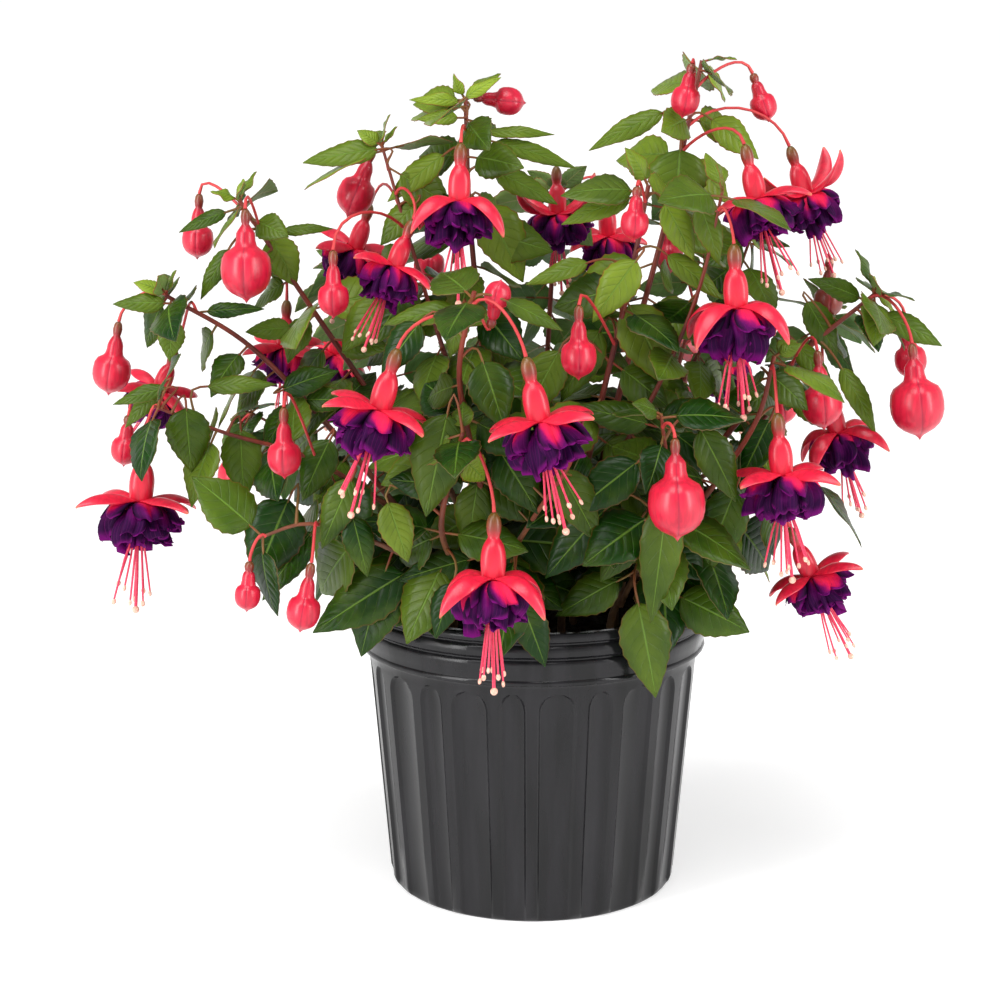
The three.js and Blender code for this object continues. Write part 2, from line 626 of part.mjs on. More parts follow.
const shootFinish = finish(colours.shoot, 0.5);
for (const shoot of shoots) add("shoot_" + shoot.name, makeShoot(shoot), shootFinish);

const calyxes = {};
for (const [form, path] of Object.entries(sepalPaths)) calyxes[form] = makeCalyx(path);
const corolla = makeCorolla();
const calyxFinish = finish(colours.calyx, 0.4);
const corollaFinish = finish(colours.corolla, 0.7);
blooms.forEach((bloom, index) => {
  const number = String(index + 1).padStart(2, "0");
  const head = new THREE.Group();
  head.position.set(...bloom.top);
  head.quaternion.setFromUnitVectors(straightDown, hangingDirection(bloom.lean));
  head.scale.setScalar(bloom.size);
  add("bloom_" + number + "_calyx", calyxes[bloom.sepals], calyxFinish, head);
  add("bloom_" + number + "_corolla", corolla, corollaFinish, head);
  plant.add(head);
});

export default plant;
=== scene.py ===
# Potted double fuchsia: a fluted nursery pot, potting mix, leafy shoots, buds and hanging blooms
import math
import random
import bmesh
import bpy
import numpy as np
from mathutils import Matrix, Vector, noise


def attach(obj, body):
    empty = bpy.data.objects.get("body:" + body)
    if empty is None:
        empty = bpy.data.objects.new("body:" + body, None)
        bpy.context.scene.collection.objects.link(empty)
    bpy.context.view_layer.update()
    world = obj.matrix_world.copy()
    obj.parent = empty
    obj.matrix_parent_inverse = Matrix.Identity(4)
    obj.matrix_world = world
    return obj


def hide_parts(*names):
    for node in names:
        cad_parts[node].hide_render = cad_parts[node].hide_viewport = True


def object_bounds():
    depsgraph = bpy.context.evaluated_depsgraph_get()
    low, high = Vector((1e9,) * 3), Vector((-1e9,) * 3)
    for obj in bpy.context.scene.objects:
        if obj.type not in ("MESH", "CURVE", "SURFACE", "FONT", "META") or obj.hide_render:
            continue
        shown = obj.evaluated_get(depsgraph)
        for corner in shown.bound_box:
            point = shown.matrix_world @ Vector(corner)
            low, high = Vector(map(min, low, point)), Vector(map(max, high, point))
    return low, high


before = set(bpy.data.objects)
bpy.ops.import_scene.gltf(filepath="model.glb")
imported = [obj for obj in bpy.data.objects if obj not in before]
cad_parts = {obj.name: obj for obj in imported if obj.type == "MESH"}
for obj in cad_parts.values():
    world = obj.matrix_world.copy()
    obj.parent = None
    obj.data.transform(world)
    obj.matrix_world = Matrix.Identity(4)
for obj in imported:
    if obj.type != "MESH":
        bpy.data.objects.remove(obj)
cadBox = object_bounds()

mm = 0.001
up = np.array([0.0, 0.0, 1.0])


# Numbers and directions
def lerp(a, b, t):
    return a + (b - a) * t


def smoothStep(low, high, value):
    t = min(max((value - low) / (high - low), 0), 1)
    return t * t * (3 - 2 * t)


def unit(vector):
    return vector / np.linalg.norm(vector)


def linear(red, green, blue):
    parts = [channel / 255 for channel in (red, green, blue)]
    return tuple(c / 12.92 if c < 0.04045 else ((c + 0.055) / 1.055) ** 2.4 for c in parts) + (1.0,)


# Materials: colours from 0 to 255, and for a ramp the place of each colour
ramps = {
    "plastic": [(0.35, (13, 13, 14)), (0.7, (34, 33, 36))],
    "peat": [(0.25, (22, 16, 12)), (0.55, (48, 36, 27)), (0.8, (84, 64, 46))],
    "bark": [(0.3, (92, 62, 42)), (0.7, (148, 112, 78))],
    "redStem": [(0.3, (84, 22, 16)), (0.7, (130, 50, 30))],
    "stalk": [(0.3, (178, 40, 48)), (0.7, (208, 70, 68))],
    "petiole": [(0.3, (124, 42, 28)), (0.7, (112, 90, 38))],
    "calyx": [
        (0.0, (104, 80, 28)), (0.1, (134, 46, 34)), (0.16, (204, 24, 52)), (0.4, (226, 30, 60)),
        (0.8, (214, 20, 56)), (0.95, (220, 48, 72)), (1.0, (214, 110, 84)),
    ],
    "anther": [(0.3, (222, 150, 130)), (0.7, (250, 206, 184))],
    "filament": [(0.3, (214, 34, 76)), (0.7, (234, 62, 96))],
    "petal": [
        (0.22, (226, 36, 72)), (0.46, (190, 20, 78)), (0.58, (120, 8, 84)), (0.72, (80, 4, 76)),
        (1.0, (42, 2, 50)),
    ],
}
# The petals' near-black side tint below is painted shade, and their lighter lip tint a painted highlight
tints = {
    "leafMargin": (130, 52, 34), "seam": (150, 6, 48), "petalVein": (110, 20, 96), "petalSideShade": (16, 2, 24),
    "petalLipHighlight": (124, 14, 114), "floor": (214, 214, 214), "sky": (255, 255, 255),
}
leafTints = {
    "leaf_upper": {"fresh": (128, 150, 42), "deep": (15, 45, 2), "rib": (98, 130, 46)},
    "leaf_under": {"fresh": (126, 146, 82), "deep": (72, 98, 60), "rib": (150, 142, 98)},
}


def newMaterial(name, sockets):
    material = bpy.data.materials.new(name)
    material.use_nodes = True
    shader = material.node_tree.nodes["Principled BSDF"]
    for key, value in sockets.items():
        shader.inputs[key].default_value = value
    return material, material.node_tree, shader


def addNode(tree, kind, inputs, **settings):
    made = tree.nodes.new("ShaderNode" + kind)
    for key, value in settings.items():
        setattr(made, key, value)
    for key, value in inputs.items():
        if isinstance(value, bpy.types.NodeSocket):
            tree.links.new(value, made.inputs[key])
        else:
            made.inputs[key].default_value = value
    return made


def calculate(tree, operation, first, second=0.0):
    return addNode(tree, "Math", {0: first, 1: second}, operation=operation).outputs[0]


def plus(tree, first, second):
    return calculate(tree, "ADD", first, second)


def minus(tree, first, second):
    return calculate(tree, "SUBTRACT", first, second)


def times(tree, first, second):
    return calculate(tree, "MULTIPLY", first, second)


def spread(tree, value, low, high, start=0.0, end=1.0):
    inputs = {"Value": value, "From Min": low, "From Max": high, "To Min": start, "To Max": end}
    return addNode(tree, "MapRange", inputs, interpolation_type="SMOOTHSTEP").outputs["Result"]


def blend(tree, factor, first, second, mode="MIX"):
    made = addNode(tree, "Mix", {0: factor, 6: first, 7: second}, data_type="RGBA", blend_type=mode)
    return made.outputs[2]


def tint(name):
    return linear(*tints[name])


def ramp(tree, factor, stops):
    made = addNode(tree, "ValToRGB", {"Fac": factor})
    elements = made.color_ramp.elements
    while len(elements) < len(stops):
        elements.new(0.5)
    for element, (place, colour) in zip(elements, stops):
        element.position = place
        element.color = colour
    return made.outputs["Color"]


def namedRamp(tree, factor, name):
    return ramp(tree, factor, [(place, linear(*colour)) for place, colour in ramps[name]])


def attribute(tree, name):
    return addNode(tree, "Attribute", {}, attribute_name=name).outputs["Fac"]


# A piece's own map: across it, and along it
def mapOn(tree):
    place = addNode(tree, "SeparateXYZ", {0: addNode(tree, "UVMap", {}, uv_map="UVMap").outputs[0]})
    return place.outputs[0], place.outputs[1]


def placeOn(tree):
    return addNode(tree, "TexCoord", {}).outputs["Object"]


def noiseOn(tree, scale, detail=4.0, stretch=(1, 1, 1)):
    place = addNode(tree, "Mapping", {"Vector": placeOn(tree), "Scale": stretch}).outputs[0]
    return addNode(tree, "TexNoise", {"Vector": place, "Scale": scale, "Detail": detail}).outputs["Fac"]


def addBump(tree, shader, height, strength, distance):
    inputs = {"Height": height, "Strength": strength, "Distance": distance}
    tree.links.new(addNode(tree, "Bump", inputs).outputs[0], shader.inputs["Normal"])


def potMaterial():
    material, tree, shader = newMaterial("pot_plastic", {"Specular IOR Level": 0.3})
    # The vertical streaks in the colour are partly the plastic's own mottling and partly painted reflection
    # streaks down the wall
    streaks = noiseOn(tree, scale=70, detail=6, stretch=(1, 1, 0.08))
    tree.links.new(namedRamp(tree, streaks, "plastic"), shader.inputs["Base Color"])
    scuffs = noiseOn(tree, scale=60, detail=6, stretch=(1, 1, 0.25))
    tree.links.new(spread(tree, scuffs, 0.45, 0.75, start=0.18, end=0.3), shader.inputs["Roughness"])
    addBump(tree, shader, noiseOn(tree, scale=900, detail=2), strength=0.12, distance=0.0003)
    return material


def mixMaterial():
    material, tree, shader = newMaterial("potting_mix", {"Roughness": 0.95, "Specular IOR Level": 0.2})
    crumbs = addNode(tree, "TexVoronoi", {"Vector": placeOn(tree), "Scale": 320}).outputs["Distance"]
    fibres = noiseOn(tree, scale=160, detail=8)
    tree.links.new(namedRamp(tree, fibres, "peat"), shader.inputs["Base Color"])
    addBump(tree, shader, plus(tree, crumbs, fibres), strength=0.9, distance=0.002)
    return material


# A leaf's own map has the midrib at 0.5 across, and side veins that slant from it towards the tip
def leafMaterial(name, roughness, ribDepth):
    material, tree, shader = newMaterial(name, {
        "Roughness": roughness, "Specular IOR Level": 0.2, "Subsurface Weight": 0.08,
        "Subsurface Radius": (0.002, 0.004, 0.001), "Subsurface Scale": 1.0,
    })
    deep, fresh, rib = (linear(*leafTints[name][part]) for part in ("deep", "fresh", "rib"))
    middle = tuple(lerp(a, b, 0.45) for a, b in zip(deep, fresh))
    veinCount, veinSlant = 7.5, 1.9
    across, along = mapOn(tree)
    away = times(tree, calculate(tree, "ABSOLUTE", minus(tree, across, 0.5)), 2)
    midrib = spread(tree, away, 0.015, 0.06, start=1, end=0)
    side = minus(tree, times(tree, along, veinCount), times(tree, away, veinSlant))
    side = calculate(tree, "PINGPONG", side, 0.5)
    fading = spread(tree, away, 0.55, 1.0, start=0.8, end=0.1)
    vein = times(tree, spread(tree, side, 0.0, 0.07, start=1, end=0), fading)
    lines = calculate(tree, "MAXIMUM", midrib, times(tree, vein, 0.6))
    pale = calculate(tree, "MAXIMUM", midrib, times(tree, vein, 0.22))
    cloud = times(tree, minus(tree, noiseOn(tree, scale=45), 0.5), 0.7)
    tone = plus(tree, attribute(tree, "tone"), cloud)
    colour = ramp(tree, tone, [(0.0, deep), (0.55, middle), (1.0, fresh)])
    colour = blend(tree, times(tree, pale, 0.7), colour, rib)
    margin = spread(tree, away, 0.93, 1.0, start=0, end=0.6)
    margin = times(tree, margin, spread(tree, tone, 0.2, 0.8, start=0.5, end=1.5))
    colour = blend(tree, margin, colour, tint("leafMargin"))
    tree.links.new(colour, shader.inputs["Base Color"])
    puckers = times(tree, noiseOn(tree, scale=300, detail=3), 0.35)
    pillow = times(tree, spread(tree, side, 0.0, 0.4), spread(tree, away, 0.1, 0.95, start=0.34, end=0.05))
    height = minus(tree, plus(tree, puckers, pillow), times(tree, lines, ribDepth))
    addBump(tree, shader, height, strength=0.6, distance=0.0009)
    return material


# Painted tone: stems 0, petioles 0.55, flower stalks 1; stems turn from brown to red with their height
def woodMaterial():
    material, tree, shader = newMaterial("stems", {"Roughness": 0.5, "Specular IOR Level": 0.4})
    streak = noiseOn(tree, scale=90, detail=6, stretch=(1, 1, 0.3))
    bark, red, stalk, petiole = (
        namedRamp(tree, streak, name) for name in ("bark", "redStem", "stalk", "petiole"))
    height = addNode(tree, "SeparateXYZ", {0: placeOn(tree)}).outputs[2]
    tone = attribute(tree, "tone")
    colour = blend(tree, spread(tree, height, 0.17, 0.27), bark, red)
    colour = blend(tree, spread(tree, tone, 0.2, 0.4), colour, petiole)
    colour = blend(tree, spread(tree, tone, 0.7, 0.9), colour, stalk)
    tree.links.new(colour, shader.inputs["Base Color"])
    addBump(tree, shader, streak, strength=0.4, distance=0.0006)
    return material


# Along a calyx or bud: olive ovary, coral tube, pink red lobes and a paler tip
def calyxMaterial():
    material, tree, shader = newMaterial("calyx", {
        "Roughness": 0.34, "Specular IOR Level": 0.4, "Coat Weight": 0.25, "Coat Roughness": 0.3,
        "Subsurface Weight": 0.1, "Subsurface Radius": (0.004, 0.0015, 0.0015), "Subsurface Scale": 1.0,
    })
    colour = namedRamp(tree, attribute(tree, "along"), "calyx")
    colour = blend(tree, times(tree, attribute(tree, "tone"), 0.6), colour, tint("seam"))
    streaks = noiseOn(tree, scale=380, detail=3, stretch=(1, 1, 0.14))
    streaks = spread(tree, streaks, 0.4, 0.62, start=1.0, end=0.8)
    shade = addNode(tree, "CombineColor", {0: streaks, 1: streaks, 2: streaks}).outputs[0]
    tree.links.new(blend(tree, 1.0, colour, shade, "MULTIPLY"), shader.inputs["Base Color"])
    ridges = noiseOn(tree, scale=260, detail=3, stretch=(1, 1, 0.16))
    addBump(tree, shader, ridges, strength=0.35, distance=0.0006)
    return material


# Painted tone: filaments and style 0, their tips 1
def stamenMaterial():
    material, tree, shader = newMaterial("stamens", {"Roughness": 0.4, "Specular IOR Level": 0.5})
    dust = noiseOn(tree, scale=900, detail=3)
    tips = spread(tree, attribute(tree, "tone"), 0.4, 0.6)
    colour = blend(tree, tips, namedRamp(tree, dust, "filament"), namedRamp(tree, dust, "anther"))
    tree.links.new(colour, shader.inputs["Base Color"])
    addBump(tree, shader, dust, strength=0.3, distance=0.0004)
    return material


# A petal turns from red at its root to violet, with fine veins; painted shade darkens it towards its sides
# and in the creases there, and a painted highlight lightens its lip
def petalMaterial():
    material, tree, shader = newMaterial("petals", {
        "Roughness": 0.6, "Specular IOR Level": 0.07, "Subsurface Weight": 0.06,
        "Subsurface Radius": (0.002, 0.0008, 0.003), "Subsurface Scale": 1.0,
    })
    veinCount = 11
    across, _ = mapOn(tree)
    along = attribute(tree, "along")
    vein = calculate(tree, "PINGPONG", times(tree, across, veinCount), 0.5)
    vein = spread(tree, vein, 0.0, 0.12, start=1, end=0)
    away = calculate(tree, "ABSOLUTE", minus(tree, across, 0.5))
    cloud = times(tree, minus(tree, noiseOn(tree, scale=130), 0.5), 0.5)
    # Painted shade: the farther from the petal's middle, the closer the colour comes to the dark end of the
    # ramp
    reach = plus(tree, plus(tree, plus(tree, along, cloud), attribute(tree, "tone")), away)
    colour = namedRamp(tree, reach, "petal")
    colour = blend(tree, times(tree, vein, 0.3), colour, tint("petalVein"))
    # Painted shade: near-black along the sides of each petal, where the petals tuck in behind each other
    fold = times(tree, spread(tree, away, 0.3, 0.5), spread(tree, along, 0.05, 0.4))
    colour = blend(tree, times(tree, fold, 0.9), colour, tint("petalSideShade"))
    # Painted highlight: the last part of each petal, its lip, turns a lighter violet
    colour = blend(tree, spread(tree, along, 0.84, 1.0, start=0, end=0.7), colour, tint("petalLipHighlight"))
    tree.links.new(colour, shader.inputs["Base Color"])
    height = plus(tree, times(tree, vein, -0.6), noiseOn(tree, scale=420, detail=3))
    addBump(tree, shader, height, strength=0.4, distance=0.0005)
    return material


looks = {
    "pot": potMaterial(),
    "mix": mixMaterial(),
    "leaf": leafMaterial("leaf_upper", roughness=0.34, ribDepth=1.1),
    "underleaf": leafMaterial("leaf_under", roughness=0.55, ribDepth=-0.7),
    "wood": woodMaterial(),
    "calyx": calyxMaterial(),
    "stamen": stamenMaterial(),
    "petal": petalMaterial(),
}
print("materials made")


# Shapes: every piece is gathered in one mesh with a map and two painted values
def newShape():
    bm = bmesh.new()
    bm.loops.layers.uv.new("UVMap")
    bm.verts.layers.float.new("along")
    bm.verts.layers.float.new("tone")
    return bm


def meshFrom(name, bm):
    mesh = bpy.data.meshes.new(name)
    bm.to_mesh(mesh)
    bm.free()
    return mesh


def objectFrom(name, data):
    made = bpy.data.objects.new(name, data)
    bpy.context.scene.collection.objects.link(made)
    return made


def paint(bm, verts, name, value):
    layer = bm.verts.layers.float[name]
    for vert in verts:
        vert[layer] = value(vert) if callable(value) else value


# A sheet whose point is place(x, v), in mm: x runs across it from -1 to 1 and v along it from 0 to 1
def addSheet(bm, columns, rows, place, tone):
    made = bmesh.ops.create_grid(bm, x_segments=columns, y_segments=rows, size=1, calc_uvs=True)["verts"]
    paint(bm, made, "along", lambda vert: (vert.co.y + 1) / 2)
    paint(bm, made, "tone", tone)
    for vert in made:
        vert.co = Vector(place(vert.co.x, (vert.co.y + 1) / 2)) * mm
    return made


# A mesh joined to the piece: gives its new points
def absorb(bm, mesh):
    first = len(bm.verts)
    bm.from_mesh(mesh)
    bpy.data.meshes.remove(mesh)
    return list(bm.verts)[first:]


def addTurned(bm, profile, steps):
    part = newShape()
    verts = [part.verts.new((radius * mm, 0, height * mm)) for radius, height in profile]
    edges = [part.edges.new(pair) for pair in zip(verts, verts[1:])]
    bmesh.ops.spin(part, geom=verts + edges, cent=(0, 0, 0), axis=(0, 0, 1), angle=2 * math.pi,
                   steps=steps, use_merge=True)
    bmesh.ops.remove_doubles(part, verts=part.verts, dist=1e-7)
    bmesh.ops.recalc_face_normals(part, faces=part.faces)
    return absorb(bm, meshFrom("turned", part))


# Round tubes along points in mm, with a radius in mm at each point
def addTubes(bm, paths, sides=6):
    curve = bpy.data.curves.new("tubes", "CURVE")
    curve.dimensions = "3D"
    curve.bevel_depth = mm
    curve.bevel_resolution = (sides - 4) // 2
    curve.use_fill_caps = True
    for points, radii in paths:
        spline = curve.splines.new("POLY")
        spline.points.add(len(points) - 1)
        for target, point, radius in zip(spline.points, points, radii):
            target.co = (*(np.asarray(point) * mm), 1)
            target.radius = radius
    holder = bpy.data.objects.new("tubes", curve)
    mesh = bpy.data.meshes.new_from_object(holder)
    bpy.data.objects.remove(holder)
    bpy.data.curves.remove(curve)
    return absorb(bm, mesh)


def addBall(bm, centre, radii, axis, segments=8, rings=6):
    turn = Vector((0, 0, 1)).rotation_difference(Vector(axis)).to_matrix().to_4x4()
    size = Matrix.Diagonal((*[radius * mm for radius in radii], 1))
    made = bmesh.ops.create_uvsphere(bm, u_segments=segments, v_segments=rings, radius=1,
                                     matrix=Matrix.Translation(Vector(centre) * mm) @ turn @ size)
    return made["verts"]


# From a shape to a piece of the visual model, which stands in for some nodes of the part
def makePiece(bm, name, materials, nodes, thickness=0.0, levels=0, crease=None):
    mesh = meshFrom(name, bm)
    mesh.shade_smooth()
    if crease is not None:
        mesh.set_sharp_from_angle(angle=math.radians(crease))
    for material in materials:
        mesh.materials.append(material)
    piece = objectFrom(name, mesh)
    if thickness:
        solidify = piece.modifiers.new("Thickness", "SOLIDIFY")
        solidify.thickness = thickness * mm
        solidify.offset = -1
        solidify.material_offset = len(materials) - 1
        solidify.material_offset_rim = len(materials) - 1
    if levels:
        smooth = piece.modifiers.new("Smooth", "SUBSURF")
        smooth.levels = levels
        smooth.render_levels = levels
    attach(piece, "root")
    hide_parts(*nodes)
    return piece


# Pot
pot = {
    "height": 170, "baseRadius": 83.2, "wallTopRadius": 95.6, "ledgeHeight": 142.3, "wall": 3.4, "floor": 3,
    "bottomRing": 60, "wallHeights": [0, 0.6, 1.8, 4.5, 30, 60, 92], "wallEnd": 138.5,
    "footInsets": {0: 2.7, 0.6: 1.7, 1.8: 0.7}, "innerHeights": (168.4, 150, 90, 40, 8), "sharpFrom": 38,
    "fluteCount": 24, "fluteDepth": 2.0, "fluteHalves": (6, 4), "fluteFade": 4.5, "topHalf": 0.8,
    "archSpring": 124, "archRise": 11, "archShares": [0, 0.2, 0.4, 0.58, 0.72, 0.84, 0.93, 0.985, 1],
    "flanks": [(-0.65, 0.0), (-0.2, 0.3), (0.2, 0.75), (0.65, 1.0)],  # degrees from the edge, share of depth
    "drainCount": 5, "drainRadius": 5, "drainCircle": 58, "drainSides": 24,
    "rim": [
        (96.0, 139.8), (96.6, 140.4), (98.4, 140.6), (99.5, 141.2), (99.9, 142.2), (99.7, 143.2),
        (99.0, 144.0), (99.0, 144.8), (99.6, 147.5), (100.5, 152), (100.5, 153.6), (99.9, 154.6),
        (99.0, 155.2), (99.0, 155.9), (100.2, 156.6), (101.4, 157.6), (101.6, 159.8), (101.4, 162.0),
        (100.6, 163.2), (99.5, 163.9), (99.5, 164.6), (100.3, 165.4), (100.7, 166.4), (100.6, 168.4),
        (100.0, 169.6), (99.0, 170.0), (98.0, 169.7),
    ],
}


def wallRadius(height):
    return lerp(pot["baseRadius"], pot["wallTopRadius"], min(height / pot["ledgeHeight"], 1))


def potProfile():
    arches = [pot["archSpring"] + pot["archRise"] * share for share in pot["archShares"]]
    heights = [*pot["wallHeights"], *arches, pot["wallEnd"]]
    outer = [(wallRadius(z) - pot["footInsets"].get(z, 0), z) for z in heights]
    inner = [(wallRadius(z) - pot["wall"], z) for z in pot["innerHeights"]]
    top, foot = inner[0][0], inner[-1][0]
    inside = [(top + 0.4, 169.2), *inner, (foot - 1.2, 4.4), (foot - 4, pot["floor"]), (0, pot["floor"])]
    return [(0, 0), (pot["bottomRing"], 0), *outer, *pot["rim"], *inside]


# Each flute has a column of points between flutes, four up each flank and one in its middle
def fluteColumn(column, half):
    middle = len(pot["flanks"]) + 1
    if column == 0:
        return -180 / pot["fluteCount"], 0.0
    if column == middle:
        return 0.0, 1.0
    if column < middle:
        flank, depth = pot["flanks"][column - 1]
        return flank - half, depth
    flank, depth = pot["flanks"][2 * middle - 1 - column]
    return half - flank, depth


def makePot():
    perFlute = 2 * len(pot["flanks"]) + 2
    steps = pot["fluteCount"] * perFlute
    bm = newShape()
    for vert in addTurned(bm, potProfile(), steps):
        radius = math.hypot(vert.co.x, vert.co.y) / mm
        if radius < 1:
            continue
        height = vert.co.z / mm
        step = round(math.atan2(vert.co.y, vert.co.x) / (2 * math.pi) * steps) % steps
        flute, column = divmod(step, perFlute)
        share = min(max((height - pot["archSpring"]) / pot["archRise"], 0), 1)
        half = max(pot["fluteHalves"][flute % 2] * math.sqrt(1 - share * share), pot["topHalf"])
        offset, depth = fluteColumn(column, half)
        turn = math.radians((flute + 0.5) * 360 / pot["fluteCount"] + offset)
        onWall = abs(radius - wallRadius(height)) < 3 and 0 < height <= pot["ledgeHeight"] - 3
        if onWall and share < 1:
            radius -= pot["fluteDepth"] * depth * smoothStep(0, pot["fluteFade"], height)
        vert.co.x = radius * mm * math.cos(turn)
        vert.co.y = radius * mm * math.sin(turn)
    cutDrains(makePiece(bm, "nursery_pot", [looks["pot"]], ["pot"], crease=pot["sharpFrom"]))


def cutDrains(piece):
    bm = bmesh.new()
    radius = pot["drainRadius"] * mm
    for i in range(pot["drainCount"]):
        turn = 2 * math.pi * (i + 0.5) / pot["drainCount"]
        place = Vector((math.cos(turn), math.sin(turn), 0)) * pot["drainCircle"] * mm
        bmesh.ops.create_cone(bm, cap_ends=True, segments=pot["drainSides"], radius1=radius, radius2=radius,
                              depth=4 * pot["floor"] * mm, matrix=Matrix.Translation(place))
    tool = objectFrom("drains", meshFrom("drains", bm))
    cut = piece.modifiers.new("Drains", "BOOLEAN")
    cut.operation = "DIFFERENCE"
    cut.solver = "EXACT"
    cut.object = tool
    bpy.context.view_layer.objects.active = piece
    with bpy.context.temp_override(object=piece, active_object=piece):
        bpy.ops.object.modifier_apply(modifier=cut.name)
    mesh = tool.data
    bpy.data.objects.remove(tool)
    bpy.data.meshes.remove(mesh)


makePot()
print("pot made")

# Potting mix: a plug with a crumbly top
mix = {
    "top": 150, "foot": 3.3, "sideGap": 0.6, "steps": 120, "rings": 26, "roughness": 90, "bumps": 2.6,
    "sink": 0.8, "crumbs": 260, "crumbSizes": (0.8, 2.4), "seed": 5,
}


def makeMix():
    gap = pot["wall"] + mix["sideGap"]
    edge, foot = wallRadius(mix["top"]) - gap, wallRadius(pot["floor"]) - gap
    profile = [(0, mix["foot"]), (foot - 4, mix["foot"]), (foot, 7)]
    profile += [(edge, mix["top"] - 5), (edge - 0.4, mix["top"] - 1.5)]
    profile += [(edge * (1 - i / mix["rings"]), mix["top"]) for i in range(1, mix["rings"] + 1)]
    bm = newShape()
    for vert in addTurned(bm, profile, mix["steps"]):
        if vert.co.z > (mix["top"] - 1) * mm:
            rough = noise.fractal(vert.co * mix["roughness"], 0.8, 2.1, 4)
            vert.co.z += (rough * mix["bumps"] - mix["sink"]) * mm
    draw = random.Random(mix["seed"])
    for _ in range(mix["crumbs"]):
        turn, reach = draw.uniform(0, 2 * math.pi), edge * 0.96 * math.sqrt(draw.random())
        size = draw.uniform(*mix["crumbSizes"])
        centre = (reach * math.cos(turn), reach * math.sin(turn), mix["top"] - 0.6 + 0.4 * size)
        axis = Vector((draw.uniform(-1, 1), draw.uniform(-1, 1), draw.uniform(0.2, 1)))
        addBall(bm, centre, (size, size * 0.8, size * draw.uniform(0.5, 1.2)), axis, 5, 4)
    makePiece(bm, "crumbly_mix", [looks["mix"]], ["potting_mix"])


makeMix()
print("potting mix made")


# Stems and stalks run along curves measured by length
class Path:
    def __init__(self, pointAt):
        self.pointAt = pointAt
        self.params = np.linspace(0, 1, 201)
        points = np.array([pointAt(t) for t in self.params])
        self.lengths = np.concatenate([[0], np.cumsum(np.linalg.norm(np.diff(points, axis=0), axis=1))])
        self.length = self.lengths[-1]

    def at(self, share):
        return self.pointAt(np.interp(share * self.length, self.lengths, self.params))

    def spaced(self, count):
        return [self.at(i / count) for i in range(count + 1)]

    def tangentAt(self, share):
        t = np.interp(share * self.length, self.lengths, self.params)
        return unit(self.pointAt(min(t + 0.0001, 1)) - self.pointAt(max(t - 0.0001, 0)))


# The centripetal curve through some points
def splineThrough(points):
    points = [np.array(point, float) for point in points]
    last = len(points) - 1
    ends = [2 * points[0] - points[1], *points, 2 * points[-1] - points[-2]]

    def pointAt(t):
        step = min(int(t * last), last - 1)
        weight = t * last - step
        p0, p1, p2, p3 = ends[step:step + 4]
        gaps = [np.linalg.norm(b - a) ** 0.5 for a, b in ((p0, p1), (p1, p2), (p2, p3))]
        start = ((p1 - p0) / gaps[0] - (p2 - p0) / (gaps[0] + gaps[1]) + (p2 - p1) / gaps[1]) * gaps[1]
        end = ((p2 - p1) / gaps[1] - (p3 - p1) / (gaps[1] + gaps[2]) + (p3 - p2) / gaps[2]) * gaps[1]
        square = -3 * p1 + 3 * p2 - 2 * start - end
        cube = 2 * p1 - 2 * p2 + start + end
        return p1 + start * weight + square * weight ** 2 + cube * weight ** 3

    return Path(pointAt)


# The point at t of the curve that has four control points
def cubic(points, t):
    s = 1 - t
    weights = (s ** 3, 3 * s * s * t, 3 * s * t * t, t ** 3)
    return sum(weight * point for weight, point in zip(weights, points))


def bezier(*points):
    return Path(lambda t: cubic(points, t))


stemLook = {
    "stemRadius": 2.4, "branchRadius": 1.7, "tipShare": 0.5, "stemStep": 32, "minimumSteps": 4,
    "holeDepth": 26, "clearance": 0.3, "rootShare": 0.45, "stalkRadii": [1.15, *[0.85] * 8, 1.05],
    "petioleRadii": [1.1, 0.85, 0.75, 0.7, 0.7, 0.7, 0.65, 0.45],
}
